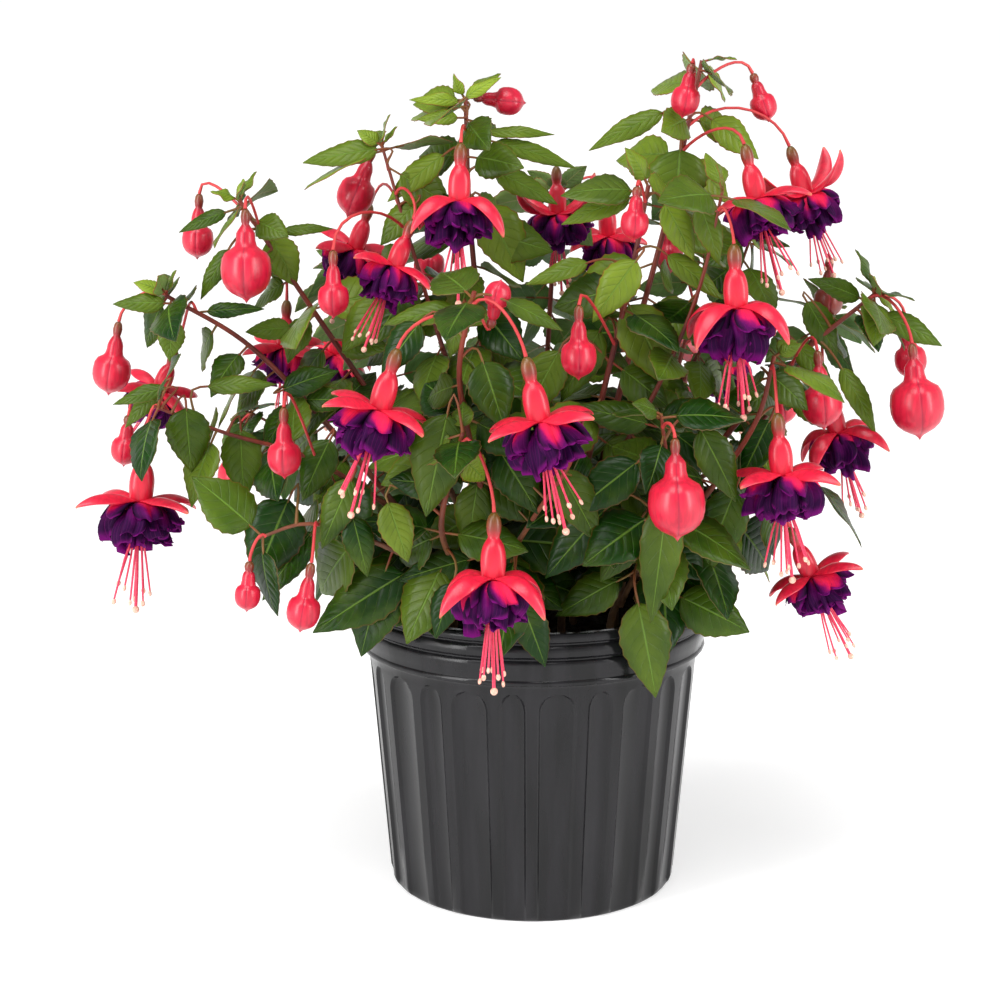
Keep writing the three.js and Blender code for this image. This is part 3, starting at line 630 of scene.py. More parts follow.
# Foot of each stem, its points above the mix, and where on it each side branch starts
shoots = {
    "high_left": {
        "hole": (-36, 8), "main": [(-50, 6, 205), (-84, 2, 270), (-130, -2, 342), (-164, -10, 396)],
        "branches": [],
    },
    "left": {
        "hole": (-46, -12), "main": [(-62, -16, 200), (-108, -22, 262), (-160, -26, 318), (-202, -40, 346)],
        "branches": [(0.36, [(-125, -50, 258), (-168, -66, 274), (-204, -76, 290)])],
    },
    "top_left": {
        "hole": (-16, -4), "main": [(-20, -4, 210), (-28, -6, 300), (-36, -8, 390), (-38, -10, 452)],
        "branches": [(0.36, [(-48, -14, 305), (-68, -14, 370), (-84, -16, 426)])],
    },
    "front_left": {
        "hole": (-14, -40), "main": [(-20, -62, 205), (-34, -94, 270), (-40, -114, 315), (-32, -126, 356)],
        "branches": [(0.3, [(0, -96, 235), (18, -118, 268), (24, -124, 292)])],
    },
    "high_right": {
        "hole": (24, 8), "main": [(32, 6, 210), (50, 0, 290), (74, -6, 385), (92, -10, 472)],
        "branches": [(0.4, [(84, 18, 290), (112, 22, 338), (124, 20, 372)])],
    },
    "centre_right": {
        "hole": (16, -30), "main": [(20, -40, 205), (36, -58, 290), (50, -68, 355), (59, -74, 407)],
        "branches": [(0.34, [(62, -62, 290), (86, -72, 350), (98, -74, 404)])],
    },
    "right": {
        "hole": (48, -4), "main": [(62, -8, 200), (104, -14, 258), (150, -22, 312), (188, -30, 346)],
        "branches": [(0.4, [(128, 14, 262), (156, 30, 300), (170, 34, 330)])],
    },
    "low_right": {
        "hole": (44, -36), "main": [(60, -50, 195), (92, -72, 240), (118, -84, 285), (126, -84, 318)],
        "branches": [
            (0.22, [(62, -84, 222), (68, -108, 262), (64, -118, 292)]),
            (0.42, [(128, -60, 236), (152, -46, 248)]),
        ],
    },
    "low_left": {
        "hole": (-34, -36), "main": [(-42, -66, 195), (-50, -100, 228), (-44, -124, 262), (-38, -128, 284)],
        "branches": [(0.36, [(-88, -84, 218), (-122, -96, 230), (-146, -104, 224)])],
    },
    "rear_left": {
        "hole": (-26, 34), "main": [(-44, 52, 210), (-84, 84, 280), (-112, 104, 350)],
        "branches": [(0.34, [(-96, 84, 226), (-140, 92, 244), (-172, 88, 262)])],
    },
    "rear_middle": {
        "hole": (4, 42), "main": [(6, 62, 215), (10, 88, 300), (16, 104, 396)],
        "branches": [(0.3, [(-14, 112, 232), (-34, 146, 262), (-44, 156, 290)])],
    },
    "rear_right": {
        "hole": (36, 34), "main": [(50, 52, 205), (84, 80, 275), (106, 96, 352)],
        "branches": [(0.34, [(72, 104, 222), (84, 142, 256), (92, 154, 284)])],
    },
}
# Ovary top, lean along X and Y, size, sepal form, and the shoot, stem and share of it that carries the bloom
blooms = [
    ((-40, -45, 428), (-2, -6), 0.97, "drooping", ("top_left", 0, 0.93)),
    ((-66, -42, 387), (-22, -8), 0.85, "level", ("top_left", 1, 0.86)),
    ((-94, 40, 391), (-20, 12), 0.85, "level", ("top_left", 1, 0.8)),
    ((-211, -66, 271), (-5, -6), 1.06, "level", ("left", 1, 0.98)),
    ((-71, -128, 327), (-17, -4), 1, "level", ("front_left", 0, 0.93)),
    ((-6, -146, 325), (12, -4), 1.02, "level", ("front_left", 0, 0.97)),
    ((-22, -142, 245), (-1, -6), 1.04, "drooping", ("low_left", 0, 0.97)),
    ((103, -88, 377), (3, -4), 1.03, "drooping", ("centre_right", 1, 0.95)),
    ((113, -38, 427), (14, -6), 0.93, "level", ("high_right", 0, 0.86)),
    ((143, 4, 425), (20, 4), 0.88, "raised", ("high_right", 0, 0.9)),
    ((126, -102, 290), (5, -5), 1, "level", ("low_right", 0, 0.97)),
    ((164, -14, 294), (16, 0), 0.9, "drooping", ("right", 0, 0.86)),
    ((140, -58, 220), (25, -6), 0.9, "level", ("low_right", 2, 0.85)),
    ((-143, 34, 336), (-4, 8), 0.84, "level", ("high_left", 0, 0.86)),
    ((14, 60, 412), (2, 4), 0.85, "raised", ("rear_middle", 0, 0.97)),
    ((-204, 6, 310), (-24, 10), 0.8, "level", ("left", 0, 0.93)),
    ((47, 124, 396), (2, 8), 0.9, "level", ("rear_middle", 0, 0.99)),
    ((-118, 134, 322), (-10, 14), 0.95, "drooping", ("rear_left", 0, 0.97)),
    ((-34, 178, 278), (-4, 12), 1, "level", ("rear_middle", 1, 0.97)),
    ((116, 134, 318), (8, 14), 0.95, "raised", ("rear_right", 0, 0.97)),
]
# Ovary top, lean, ball diameter, and what carries the bud
buds = [
    ((-190, 18, 398), (-4, 4), 17, ("high_left", 0, 0.95)),
    ((-156, -50, 393), (0, -4), 26, ("high_left", 0, 0.93)),
    ((-90, 10, 424), (-22, 0), 20, ("top_left", 1, 0.93)),
    ((-230, -28, 330), (-10, 0), 20, ("left", 0, 0.98)),
    ((-226, -30, 278), (-8, 4), 15, ("left", 1, 0.95)),
    ((-132, -102, 293), (0, -4), 17, ("left", 1, 0.4)),
    ((-108, -64, 372), (0, -4), 16, ("top_left", 1, 0.75)),
    ((22, -98, 346), (0, -4), 18, ("centre_right", 0, 0.7)),
    ((-24, -112, 336), (12, -165), 13, ("front_left", 0, 0.96)),
    ((-34, 6, 452), (84, 0), 15, ("top_left", 0, 0.97)),
    ((70, -134, 282), (2, -4), 28, ("low_right", 1, 0.95)),
    ((206, -46, 320), (6, -4), 28, ("right", 0, 0.98)),
    ((208, -12, 332), (10, 4), 17, ("right", 0, 0.96)),
    ((122, 8, 465), (20, 0), 14, ("high_right", 0, 0.96)),
    ((85, -26, 470), (-10, -6), 15, ("high_right", 0, 0.95)),
    ((52, -92, 407), (-4, -6), 14, ("centre_right", 0, 0.97)),
    ((-151, -108, 212), (-4, -4), 13, ("low_left", 1, 0.97)),
    ((-118, -112, 212), (-10, -4), 17, ("low_left", 1, 0.75)),
    ((152, -62, 318), (6, -4), 21, ("right", 0, 0.78)), ((170, 22, 362), (0, 0), 16, ("right", 1, 0.97)),
    ((-180, 88, 250), (-6, 4), 20, ("rear_left", 1, 0.97)),
    ((-60, 84, 378), (-4, 8), 18, ("rear_left", 0, 0.9)),
    ((80, 66, 384), (4, 6), 16, ("rear_right", 0, 0.9)),
    ((100, 166, 276), (4, 8), 22, ("rear_right", 1, 0.97)),
    ((150, 90, 290), (10, 4), 17, ("rear_right", 0, 0.8)),
]

budLook = {
    "smallBall": 16, "smallNeck": 9, "largeNeck": 14, "seamPower": 160, "seamDepth": 0.06, "steps": 32,
    "neck": [(2.1, -1.2), (2.6, -4), (2.3, -6.6), (1.9, -7.8), (2.7, -9)],  # radius and height, both in mm
    "shoulder": [(0.0, -0.1), (0.01, 0.2), (0.06, 0.42)],  # past the neck's radius, in shares of the ball's
    "ball": [
        (0.6, 0.55), (0.83, 0.7), (0.95, 0.94), (1, 1.34), (0.985, 1.66), (0.91, 1.94), (0.78, 2.18),
        (0.58, 2.37), (0.35, 2.5), (0.16, 2.59), (0.07, 2.68), (0, 2.8),
    ],
    "tip": 2.8,
}


# How long a bud's ovary and tube are together: small balls have a short neck
def neckOf(ball):
    return budLook["smallNeck"] if ball < budLook["smallBall"] else budLook["largeNeck"]


# Distance from the ovary's top and radius of the two balls that stand in for a bud
def budBalls(ball):
    return (0.57 * neckOf(ball), 4), (neckOf(ball) + 0.7 * ball, ball / 2 + 1)


# A stem's curve, and the points where its plainer form bends
def stemAlong(points):
    path = splineThrough(points)
    steps = max(stemLook["minimumSteps"], math.floor(path.length / stemLook["stemStep"] + 0.5))
    return {"path": path, "steps": steps, "bends": path.spaced(steps)}


def middleAt(stem, share):
    step = min(int(share * stem["steps"]), stem["steps"] - 1)
    return lerp(stem["bends"][step], stem["bends"][step + 1], share * stem["steps"] - step)


def stemsOf(shoot):
    x, y = shoot["hole"]
    top = mix["top"]
    foot = [(x, y, top - stemLook["holeDepth"] + stemLook["clearance"]), (x, y, top - 6), (x, y, top + 14)]
    main = stemAlong(foot + shoot["main"])
    return [main] + [stemAlong([middleAt(main, at), *points]) for at, points in shoot["branches"]]


stems = {name: stemsOf(shoot) for name, shoot in shoots.items()}
allStems = [(name, stem, entry["path"].length) for name in shoots for stem, entry in enumerate(stems[name])]


def rootOffset(stem, share):
    foot = stemLook["branchRadius"] if stem else stemLook["stemRadius"]
    return stemLook["rootShare"] * foot * (1 - (1 - stemLook["tipShare"]) * share)


def hanging(lean):
    a, b = math.radians(lean[0]), math.radians(lean[1])
    return np.array([math.sin(a), math.sin(b) * math.cos(a), -math.cos(b) * math.cos(a)])


# The point at a distance below the ovary's top, along a bloom or bud that leans
def below(top, lean, distance, size=1):
    return np.array(top) + hanging(lean) * distance * size


def stalkPath(top, lean, on):
    start = middleAt(stems[on[0]][on[1]], on[2])
    away = unit(np.array([top[0] - start[0], top[1] - start[1], 0.0]))
    start = start + away * rootOffset(on[1], on[2])
    down = hanging(lean)
    end = np.array(top, float) - down * stemLook["clearance"]
    reach = np.linalg.norm(end - start)
    rise = np.array([end[0] - start[0], end[1] - start[1], 0.0]) * 0.35
    return bezier(start, start + rise + up * 0.3 * reach, end - down * 0.35 * reach, end)


# What leaves keep clear of; a bloom is a row of balls, each with its distance below the top and its radius
sepalForms = {  # radius and height of the root, two middles and the tip
    "raised": [(3, -30.5), (15, -27), (27, -20), (36, -9)],
    "level": [(3, -30.5), (16, -28.5), (28, -30), (38, -36)],
    "drooping": [(3, -30.5), (17, -29), (28, -36), (33.5, -50)],
}
keepOut = {
    "bloom": [(6, 6), (18, 6), (28, 6), (50, 24), (70, 9), (80, 9), (88, 9)],
    "sepal": 7, "stalk": 1.5, "step": 5,
}
takenPoints, takenRadii, takenOwners = [], [], []


def take(point, radius, owner):
    takenPoints.append(np.array(point, float))
    takenRadii.append(radius)
    takenOwners.append(owner)


def takePath(path, radius, owner):
    count = math.ceil(path.length / keepOut["step"])
    for point in path.spaced(count):
        take(point, radius, owner)


def bloomMatrix(top, lean, size):
    turn = Vector((0, 0, -1)).rotation_difference(Vector(hanging(lean)))
    return Matrix.Translation(Vector(top)) @ turn.to_matrix().to_4x4() @ Matrix.Scale(size, 4)


# From a bloom's or bud's own mm to its place, in metres
def inMetres(top, lean, size=1):
    return Matrix.Scale(mm, 4) @ bloomMatrix(top, lean, size) @ Matrix.Scale(1 / mm, 4)


def sepalTurn(i):
    return 2 * math.pi * (i + 0.5) / 4


for name in shoots:
    for stem in stems[name]:
        count = math.ceil(stem["path"].length / keepOut["step"])
        for i in range(count + 1):
            take(middleAt(stem, i / count), stemLook["stemRadius"], name)
for top, lean, size, form, on in blooms:
    takePath(stalkPath(top, lean, on), keepOut["stalk"], on[0])
    for distance, radius in keepOut["bloom"]:
        take(below(top, lean, distance, size), radius, None)
    matrix = bloomMatrix(top, lean, size)
    for turn in map(sepalTurn, range(4)):
        for radius, height in sepalForms[form][1:]:
            point = Vector((radius * math.cos(turn), radius * math.sin(turn), height))
            take(matrix @ point, keepOut["sepal"], None)
for top, lean, ball, on in buds:
    takePath(stalkPath(top, lean, on), keepOut["stalk"], on[0])
    for distance, radius in budBalls(ball):
        take(below(top, lean, distance), radius, on[0])

# Leaves, in opposite pairs; "more" leaves fill the gaps that the first ones leave
leaf = {
    "spacing": 74, "length": (68, 44), "least": 0.88, "range": 0.24, "width": 0.62, "turnRange": 30,
    "droop": 0.32, "sag": 0.16,
    "bareShare": 0.3, "branchBare": 0.3, "lastShare": 0.985, "rimReach": 106, "lowest": 120,
    "sampleRadius": 6.5, "ownShare": 0.8, "seed": 20260611,
    "tries": (0, 28, -28, 56, -56, 84, -84), "sizes": (1, 0.78),
    "columns": 4, "rows": 16, "thickness": 0.35, "bladeStart": 0.17, "tooth": 0.07, "ribHeight": 0.9,
    "fold": (0.08, 0.26), "ruffle": (0.5, 1.4), "curl": (-0.02, 0.07), "twist": (-0.22, 0.22),
}
moreLeaves = {
    "spacing": 21, "length": (62, 34), "stretch": (0.75, 1.2), "turn": (-25, 25), "droop": (0.2, 1.1),
    "facing": (0.6, 1.6), "bareShare": 0.2, "branchBare": 0.15, "lastShare": 0.995,
    "sampleRadius": 2.4, "ownShare": 0.42, "seed": 31,
    "tries": (0, 25, -25, 50, -50, 75, -75, 100, -100), "sizes": (1, 0.8, 0.62),
}
tipLeaves = {
    "count": 5, "length": (12, 26), "turn": (-30, 30), "droop": (-1.2, 0.1), "facing": 0.3, "share": 0.997,
    "sampleRadius": 1.0, "ownShare": 0.1, "tries": (0, 30, -30, 60, -60), "sizes": (1, 0.7),
}
leafSamples = [  # share of the leaf's length, and of half its width
    (0.22, 0), (0.38, 0), (0.6, 0), (0.82, 0), (1, 0), (0.48, 0.45), (0.48, -0.45),
    (0.42, 0.85), (0.42, -0.85), (0.65, 0.7), (0.65, -0.7),
]


def drawFrom(state):
    while True:
        state = (state * 1664525 + 1013904223) % 4294967296
        yield state / 4294967296


def leafFrame(name, stem, share, angle, length, droop, facing=0):
    path = stems[name][stem]["path"]
    start = middleAt(stems[name][stem], share)
    tangent = path.tangentAt(share)
    outward = np.array([start[0], start[1], 0.0])
    outward = unit(outward) if np.linalg.norm(outward) >= 1 else np.array([0.0, -1.0, 0.0])
    across = unit(outward - tangent * outward.dot(tangent))
    other = np.cross(tangent, across)
    heading = unit(across * math.cos(angle) + other * math.sin(angle) + 0.3 * tangent - droop * up)
    toViewer = np.array([0.0, -1.0 if start[1] < 25 else 1.0, 0.0])
    above = 0.75 * up + 0.7 * outward + facing * toViewer
    side = unit(np.cross(above, heading))
    face = np.cross(heading, side)
    return {
        "start": start + heading * rootOffset(stem, share), "root": path.at(share), "heading": heading,
        "side": side, "face": face, "length": length, "half": 0.5 * leaf["width"] * length,
    }


def leafPoint(f, share, across, height):
    sag = -leaf["sag"] * f["length"] * share * share
    return f["start"] + f["heading"] * f["length"] * share + f["side"] * across + f["face"] * (sag + height)


def samplesOf(f):
    return np.array([leafPoint(f, share, across * f["half"], 0) for share, across in leafSamples])


def isClear(f, owner, settings, taken):
    samples = samplesOf(f)
    radius = settings["sampleRadius"]
    overRim = np.hypot(samples[:, 0], samples[:, 1]) < leaf["rimReach"]
    if np.any(overRim & (samples[:, 2] < pot["height"] + radius)) or np.any(samples[:, 2] < leaf["lowest"]):
        return False
    points, radii, owners = taken
    near = (radius + radii) * np.where(owners == owner, settings["ownShare"], 1.0)
    apart = np.linalg.norm(samples[:, None, :] - points[None, :, :], axis=2)
    return not np.any(apart < near[None, :])


def takenNow():
    names = np.array([str(owner) for owner in takenOwners])
    return np.array(takenPoints), np.array(takenRadii, float), names


def fitLeaf(name, stem, share, angle, length, droop, settings, facing=0):
    taken = takenNow()
    for shrink in settings["sizes"]:
        for extra in settings["tries"]:
            f = leafFrame(name, stem, share, math.radians(angle + extra), length * shrink, droop, facing)
            if isClear(f, name, settings, taken):
                return f
    return None


def keepLeaf(f, name, radius):
    for point in samplesOf(f):
        take(point, radius, name)
    leaves[name].append(f)


leaves = {name: [] for name in shoots}
draws = drawFrom(leaf["seed"])
for name, stem, length in allStems:
    first = leaf["branchBare"] * leaf["spacing"] if stem else leaf["bareShare"] * length
    pairs = max(1, math.floor((length - first) / leaf["spacing"] + 0.5))
    for pair in range(pairs + 1):
        share = min((first + (length - first) * pair / pairs) / length, leaf["lastShare"])
        for half in (0, 180):
            size = lerp(*leaf["length"], share) * (leaf["least"] + leaf["range"] * next(draws))
            angle = pair * 90 + half + leaf["turnRange"] * (next(draws) - 0.5)
            found = fitLeaf(name, stem, share, angle, size, leaf["droop"], leaf)
            if found is not None:
                keepLeaf(found, name, leaf["sampleRadius"])
print("first leaves", sum(len(found) for found in leaves.values()))

# Leaves that the photo shows: base and tip of the blade, and half its width
shownLeaves = [
    (-46, -122, 293, -58, -132, 241, 16), (-132, -85, 241, -152, -94, 198, 18),
    (-120, -84, 223, -149, -92, 188, 10), (-160, -60, 275, -159, -67, 237, 12),
    (-97, -100, 255, -115, -107, 219, 10), (-97, -100, 235, -89, -106, 203, 9),
    (-78, -104, 243, -67, -110, 212, 10), (-35, -85, 208, -74, -92, 200, 10),
    (-70, -83, 200, -121, -94, 172, 16), (-44, -102, 199, -54, -108, 170, 9),
    (-31, -84, 250, -37, -91, 213, 11), (-28, -114, 319, -16, -120, 285, 13),
    (61, -69, 279, 23, -76, 292, 10), (68, -70, 283, 100, -76, 291, 9),
    (73, -103, 279, 105, -110, 256, 9), (53, -106, 265, 18, -114, 240, 13),
    (37, -96, 238, 4, -105, 204, 14), (45, -83, 196, 11, -90, 180, 12),
    (68, -118, 249, 60, -130, 183, 12), (55, -92, 186, 66, -104, 136, 15),
    (79, -76, 185, 117, -84, 169, 15), (108, -76, 245, 90, -85, 199, 14),
    (-7, -108, 188, 6, -114, 156, 10), (-19, -99, 269, 2, -106, 238, 13),
    (-201, -45, 342, -229, -50, 344, 6), (-197, -46, 333, -200, -50, 311, 8),
    (-198, -70, 299, -227, -75, 293, 5), (-201, -64, 300, -223, -70, 279, 6),
    (-187, -75, 289, -185, -81, 255, 13), (-177, -64, 299, -141, -70, 303, 6),
    (-139, -34, 293, -111, -39, 306, 9), (-127, -33, 287, -101, -38, 289, 8),
    (-172, -4, 389, -199, -9, 381, 5), (-170, -15, 369, -187, -21, 343, 6),
    (-147, -5, 375, -133, -10, 349, 11), (-181, -30, 336, -150, -36, 340, 5),
    (-137, -5, 324, -162, -10, 324, 7), (-141, 0, 378, -114, -5, 382, 4),
    (-41, -10, 450, -68, -15, 453, 4), (-38, -14, 452, -20, -18, 464, 4),
    (-42, -12, 441, -64, -16, 442, 5), (-26, -11, 433, 10, -17, 435, 4),
    (-22, -12, 428, 23, -20, 418, 6), (-50, -13, 421, -82, -20, 398, 8),
    (-22, -13, 412, 13, -20, 397, 8), (-27, -14, 393, -5, -22, 353, 15),
    (-66, -15, 394, -86, -20, 373, 9), (-42, -112, 346, -78, -119, 342, 7),
    (-39, -110, 345, -45, -114, 321, 7), (-16, -123, 351, 13, -129, 339, 6),
    (28, -68, 366, -5, -74, 357, 6), (53, -78, 368, 29, -85, 338, 11), (50, -66, 400, 14, -73, 390, 7),
    (71, -12, 444, 30, -20, 428, 7), (50, -64, 343, 73, -73, 302, 16),
    (-60, -116, 339, -81, -122, 314, 10), (80, -18, 424, 77, -25, 388, 18),
    (98, -8, 440, 125, -14, 421, 10), (68, -70, 397, 85, -76, 369, 9),
    (70, -68, 370, 100, -75, 349, 7), (182, -16, 342, 155, -21, 355, 7),
    (151, -24, 341, 170, -30, 311, 9), (145, -27, 318, 168, -33, 293, 7),
    (191, -38, 335, 224, -45, 321, 8), (170, -31, 305, 192, -39, 270, 7),
    (125, -74, 307, 147, -79, 290, 10), (86, -74, 397, 98, -80, 367, 8),
    (13, -60, 318, -8, -68, 281, 12), (35, -58, 329, 13, -66, 292, 11),
    (85, -110, 283, 106, -118, 247, 11), (126, -72, 282, 110, -78, 250, 11),
    (-112, -52, 268, -129, -59, 236, 11), (-86, -22, 342, -108, -28, 314, 11),
    (12, -108, 261, 33, -116, 225, 12), (56, -90, 231, 34, -97, 199, 12),
    (-86, -17, 424, -127, -24, 420, 8),
]
stemPlaces = [(name, stem, i / 80) for name, stem, _ in allStems for i in range(10, 81)]
stemPoints = np.array([stems[name][stem]["path"].at(share) for name, stem, share in stemPlaces])


# A shown leaf grows from the stem point that its petiole reaches best, about 9 mm away
def shownFrame(base, tip, half):
    apart = np.linalg.norm(stemPoints - base, axis=1)
    nearest = np.argmin(np.abs(apart - 9) + 0.15 * apart)
    heading = unit(tip - base)
    length = np.linalg.norm(tip - base) / (1 - leaf["bladeStart"])
    side = unit(np.cross(np.array([0.0, -0.9, 0.45]), heading))
    return stemPlaces[nearest][0], {
        "start": base - heading * length * leaf["bladeStart"], "root": stemPoints[nearest],
        "heading": heading, "side": side, "face": np.cross(heading, side), "length": length, "half": half,
    }


for row in shownLeaves:
    name, found = shownFrame(np.array(row[:3], float), np.array(row[3:6], float), row[6])
    keepLeaf(found, name, moreLeaves["sampleRadius"])

# The photo is taken from the viewer's place. Added leaves don't hide the spots, each a point and a radius, on
# the shown leaves and on the blooms and buds of the front
viewer = np.array([-19.0, -1200.0, 456.0])
spotLook = {
    "leafShares": (0.3, 0.55, 0.8), "leafWidth": 0.75, "frontDepth": 20, "budMargin": 1,
    "bloom": [(6, 5), (22, 9), (34, 18), (46, 22), (58, 18), (76, 9)],
}
spots = []
for row in shownLeaves:
    base, tip = np.array(row[:3], float), np.array(row[3:6], float)
    spots += [(lerp(base, tip, share), spotLook["leafWidth"] * row[6]) for share in spotLook["leafShares"]]
for top, lean, size, _, on in blooms:
    if top[1] < spotLook["frontDepth"]:
        spots += [(below(top, lean, distance, size), radius) for distance, radius in spotLook["bloom"]]
for top, lean, ball, on in buds:
    if top[1] < spotLook["frontDepth"]:
        for distance, radius in budBalls(ball):
            spots.append((below(top, lean, distance), radius + spotLook["budMargin"]))
spotPoints = np.array([point for point, _ in spots]) - viewer
spotRadii = np.array([radius for _, radius in spots])


def hidesSpot(points):
    away = np.linalg.norm(points - viewer, axis=1)[:, None]
    rays = (points - viewer) / away
    along = rays @ spotPoints.T
    aside = np.sqrt(np.maximum((spotPoints ** 2).sum(axis=1)[None, :] - along ** 2, 0))
    return np.any((aside < spotRadii[None, :]) & (away < along))


lowest, highest = (np.array(corner) / mm for corner in cadBox)


def canBeAdded(f):
    points = samplesOf(f)
    return np.all(points > lowest) and np.all(points < highest) and not hidesSpot(points)


more = random.Random(moreLeaves["seed"])
for name, stem, length in allStems:
    first = length * (moreLeaves["branchBare"] if stem else moreLeaves["bareShare"])
    pairs = max(1, round((length - first) / moreLeaves["spacing"]))
    for pair in range(pairs + 1):
        share = min((first + (length - first) * (pair + 0.4) / pairs) / length, moreLeaves["lastShare"])
        for half in (0, 180):
            size = lerp(*moreLeaves["length"], share) * more.uniform(*moreLeaves["stretch"])
            angle = pair * 90 + 45 + half + more.uniform(*moreLeaves["turn"])
            droop = more.uniform(*moreLeaves["droop"])
            facing = more.uniform(*moreLeaves["facing"])
            found = fitLeaf(name, stem, share, angle, size, droop, moreLeaves, facing)
            if found is not None and canBeAdded(found):
                keepLeaf(found, name, moreLeaves["sampleRadius"])
for name, stem, _ in allStems:
    for i in range(tipLeaves["count"]):
        size, droop = more.uniform(*tipLeaves["length"]), more.uniform(*tipLeaves["droop"])
        angle = 90 * i + more.uniform(*tipLeaves["turn"])
        share, facing = tipLeaves["share"], tipLeaves["facing"]
        found = fitLeaf(name, stem, share, angle, size, droop, tipLeaves, facing)
        if found is not None and canBeAdded(found):
            keepLeaf(found, name, tipLeaves["sampleRadius"])
print("all leaves", sum(len(found) for found in leaves.values()))


# The blade's width at a share of its length, 1 where it is widest
def bladeWidth(t):
    return max(math.sin(math.pi * min(t, 0.999) ** 0.72) ** 0.85 * (1 - 0.2 * t * t), 0.02)


def addLeaf(bm, f, draw):
    length, rows = f["length"], leaf["rows"]
    fold, ruffle, phase = draw.uniform(*leaf["fold"]), draw.uniform(*leaf["ruffle"]), draw.uniform(0, 6)
    curl, twist = draw.uniform(*leaf["curl"]), draw.uniform(*leaf["twist"])

    def place(x, v):
        share = leaf["bladeStart"] + (1 - leaf["bladeStart"]) * v
        tooth = 1 - leaf["tooth"] * (round(v * rows) % 2) * (abs(x) > 0.9) * (v < 0.95)
        wide = f["half"] * bladeWidth(v) * tooth
        wave = ruffle * abs(x) ** 2 * math.sin(9 * v + phase + (1.6 if x > 0 else 0)) * bladeWidth(v)
        height = fold * abs(x) * wide - 0.1 * x * x * wide + wave - curl * length * v * v
        height += leaf["ribHeight"] * math.exp(-9 * abs(x)) * (v < 0.97)
        lean = twist * v * x * wide
        return leafPoint(f, share, -x * wide, height + lean)

    # Higher and smaller leaves are a fresher green
    fresh = draw.gauss(0.28, 0.2) + 0.0024 * (f["start"][2] - 320) + 0.014 * max(34 - length, 0)
    addSheet(bm, leaf["columns"], rows, place, min(max(fresh, 0), 1))


def makeLeaves(name):
    draw = random.Random("leaves " + name)
    bm = newShape()
    for f in leaves[name]:
        addLeaf(bm, f, draw)
    makePiece(bm, "shoot_" + name + "_leaves", [looks["leaf"], looks["underleaf"]], ["shoot_" + name],
              thickness=leaf["thickness"])


def taper(count, start, end):
    return [lerp(start, end, i / (count - 1)) for i in range(count)]


def makeStems(name):
    bm = newShape()
    wood, stalks, petioles = [], [], []
    for index, stem in enumerate(stems[name]):
        foot = stemLook["branchRadius"] if index else stemLook["stemRadius"]
        points = stem["path"].spaced(max(12, int(stem["path"].length / 7)))
        wood.append((points, taper(len(points), foot, foot * stemLook["tipShare"])))
    for top, lean, *_, on in blooms + buds:
        if on[0] == name:
            stalks.append((stalkPath(top, lean, on).spaced(9), stemLook["stalkRadii"]))
    for f in leaves[name]:
        gap = f["start"] - f["root"]
        far = np.linalg.norm(gap)
        leaving, arriving = 0.3 * gap + up * 0.15 * far, f["heading"] * 0.35 * far
        bend = bezier(f["root"], f["root"] + leaving, f["start"] - arriving, leafPoint(f, 0.08, 0, 0.2))
        points = [*bend.spaced(5), leafPoint(f, leaf["bladeStart"], 0, 0.2), leafPoint(f, 0.3, 0, 0.2)]
        petioles.append((points, stemLook["petioleRadii"]))
    for tubes, sides, tone in ((wood, 8, 0.0), (petioles, 6, 0.55), (stalks, 6, 1.0)):
        paint(bm, addTubes(bm, tubes, sides), "tone", tone)
    makePiece(bm, "shoot_" + name + "_stems", [looks["wood"]], ["shoot_" + name])


# Buds: ovary, tube and four closed lobes with raised seams and a pointed tip; one is shown as a berry
berries = [(170, 22, 362)]


def budProfile(ball):
    r, full = ball / 2, neckOf(ball)
    short = full / budLook["largeNeck"]
    neck = 0.25 * r + 1.8
    profile = [(0, 0.3), (1.3, -0.1)]
    profile += [(radius, height * short) for radius, height in budLook["neck"]]
    profile.append((0.14 * r + 2.3, -11 * short))
    profile += [(neck + share * r, -full - drop * r) for share, drop in budLook["shoulder"]]
    return profile + [(share * r, -full - drop * r) for share, drop in budLook["ball"]]


def addBud(bm, top, lean, ball):
    r, full = ball / 2, neckOf(ball)
    short = full / budLook["largeNeck"]
    fruit, tip = 10 * short, -full - budLook["tip"] * r

    def seamAt(vert, power):
        return abs(math.cos(2 * math.atan2(vert.co.y, vert.co.x))) ** power

    def alongAt(vert):
        if top in berries:
            return 0.08
        height = vert.co.z / mm
        if vert.co.z > -fruit * mm:
            return lerp(0.0, 0.16, min(-height / fruit, 1))
        return lerp(0.2, 0.99, (height + fruit) / (tip + fruit)) ** 1.15

    made = addTurned(bm, budProfile(ball), budLook["steps"])
    for vert in made:
        turn, reach = math.atan2(vert.co.y, vert.co.x), math.hypot(vert.co.x, vert.co.y)
        turn -= 0.2 * math.sin(4 * turn)
        vert.co.x, vert.co.y = reach * math.cos(turn), reach * math.sin(turn)
    paint(bm, made, "tone", lambda vert: 0.35 + seamAt(vert, 200))
    paint(bm, made, "along", alongAt)
    for vert in made:
        low = smoothStep(-fruit, -full - r, vert.co.z / mm)
        rib = budLook["seamDepth"] * (seamAt(vert, 1) - seamAt(vert, budLook["seamPower"]))
        seam = 1 + low * rib
        vert.co.x *= seam
        vert.co.y *= seam
    bmesh.ops.transform(bm, matrix=inMetres(top, lean), verts=made)


def makeBuds(name):
    carried = [bud for bud in buds if bud[3][0] == name]
    if not carried:
        return
    bm = newShape()
    for top, lean, ball, _ in carried:
        addBud(bm, top, lean, ball)
    makePiece(bm, "shoot_" + name + "_buds", [looks["calyx"]], ["shoot_" + name])


for name in shoots:
    makeLeaves(name)
    makeStems(name)
    makeBuds(name)
print("shoots made")

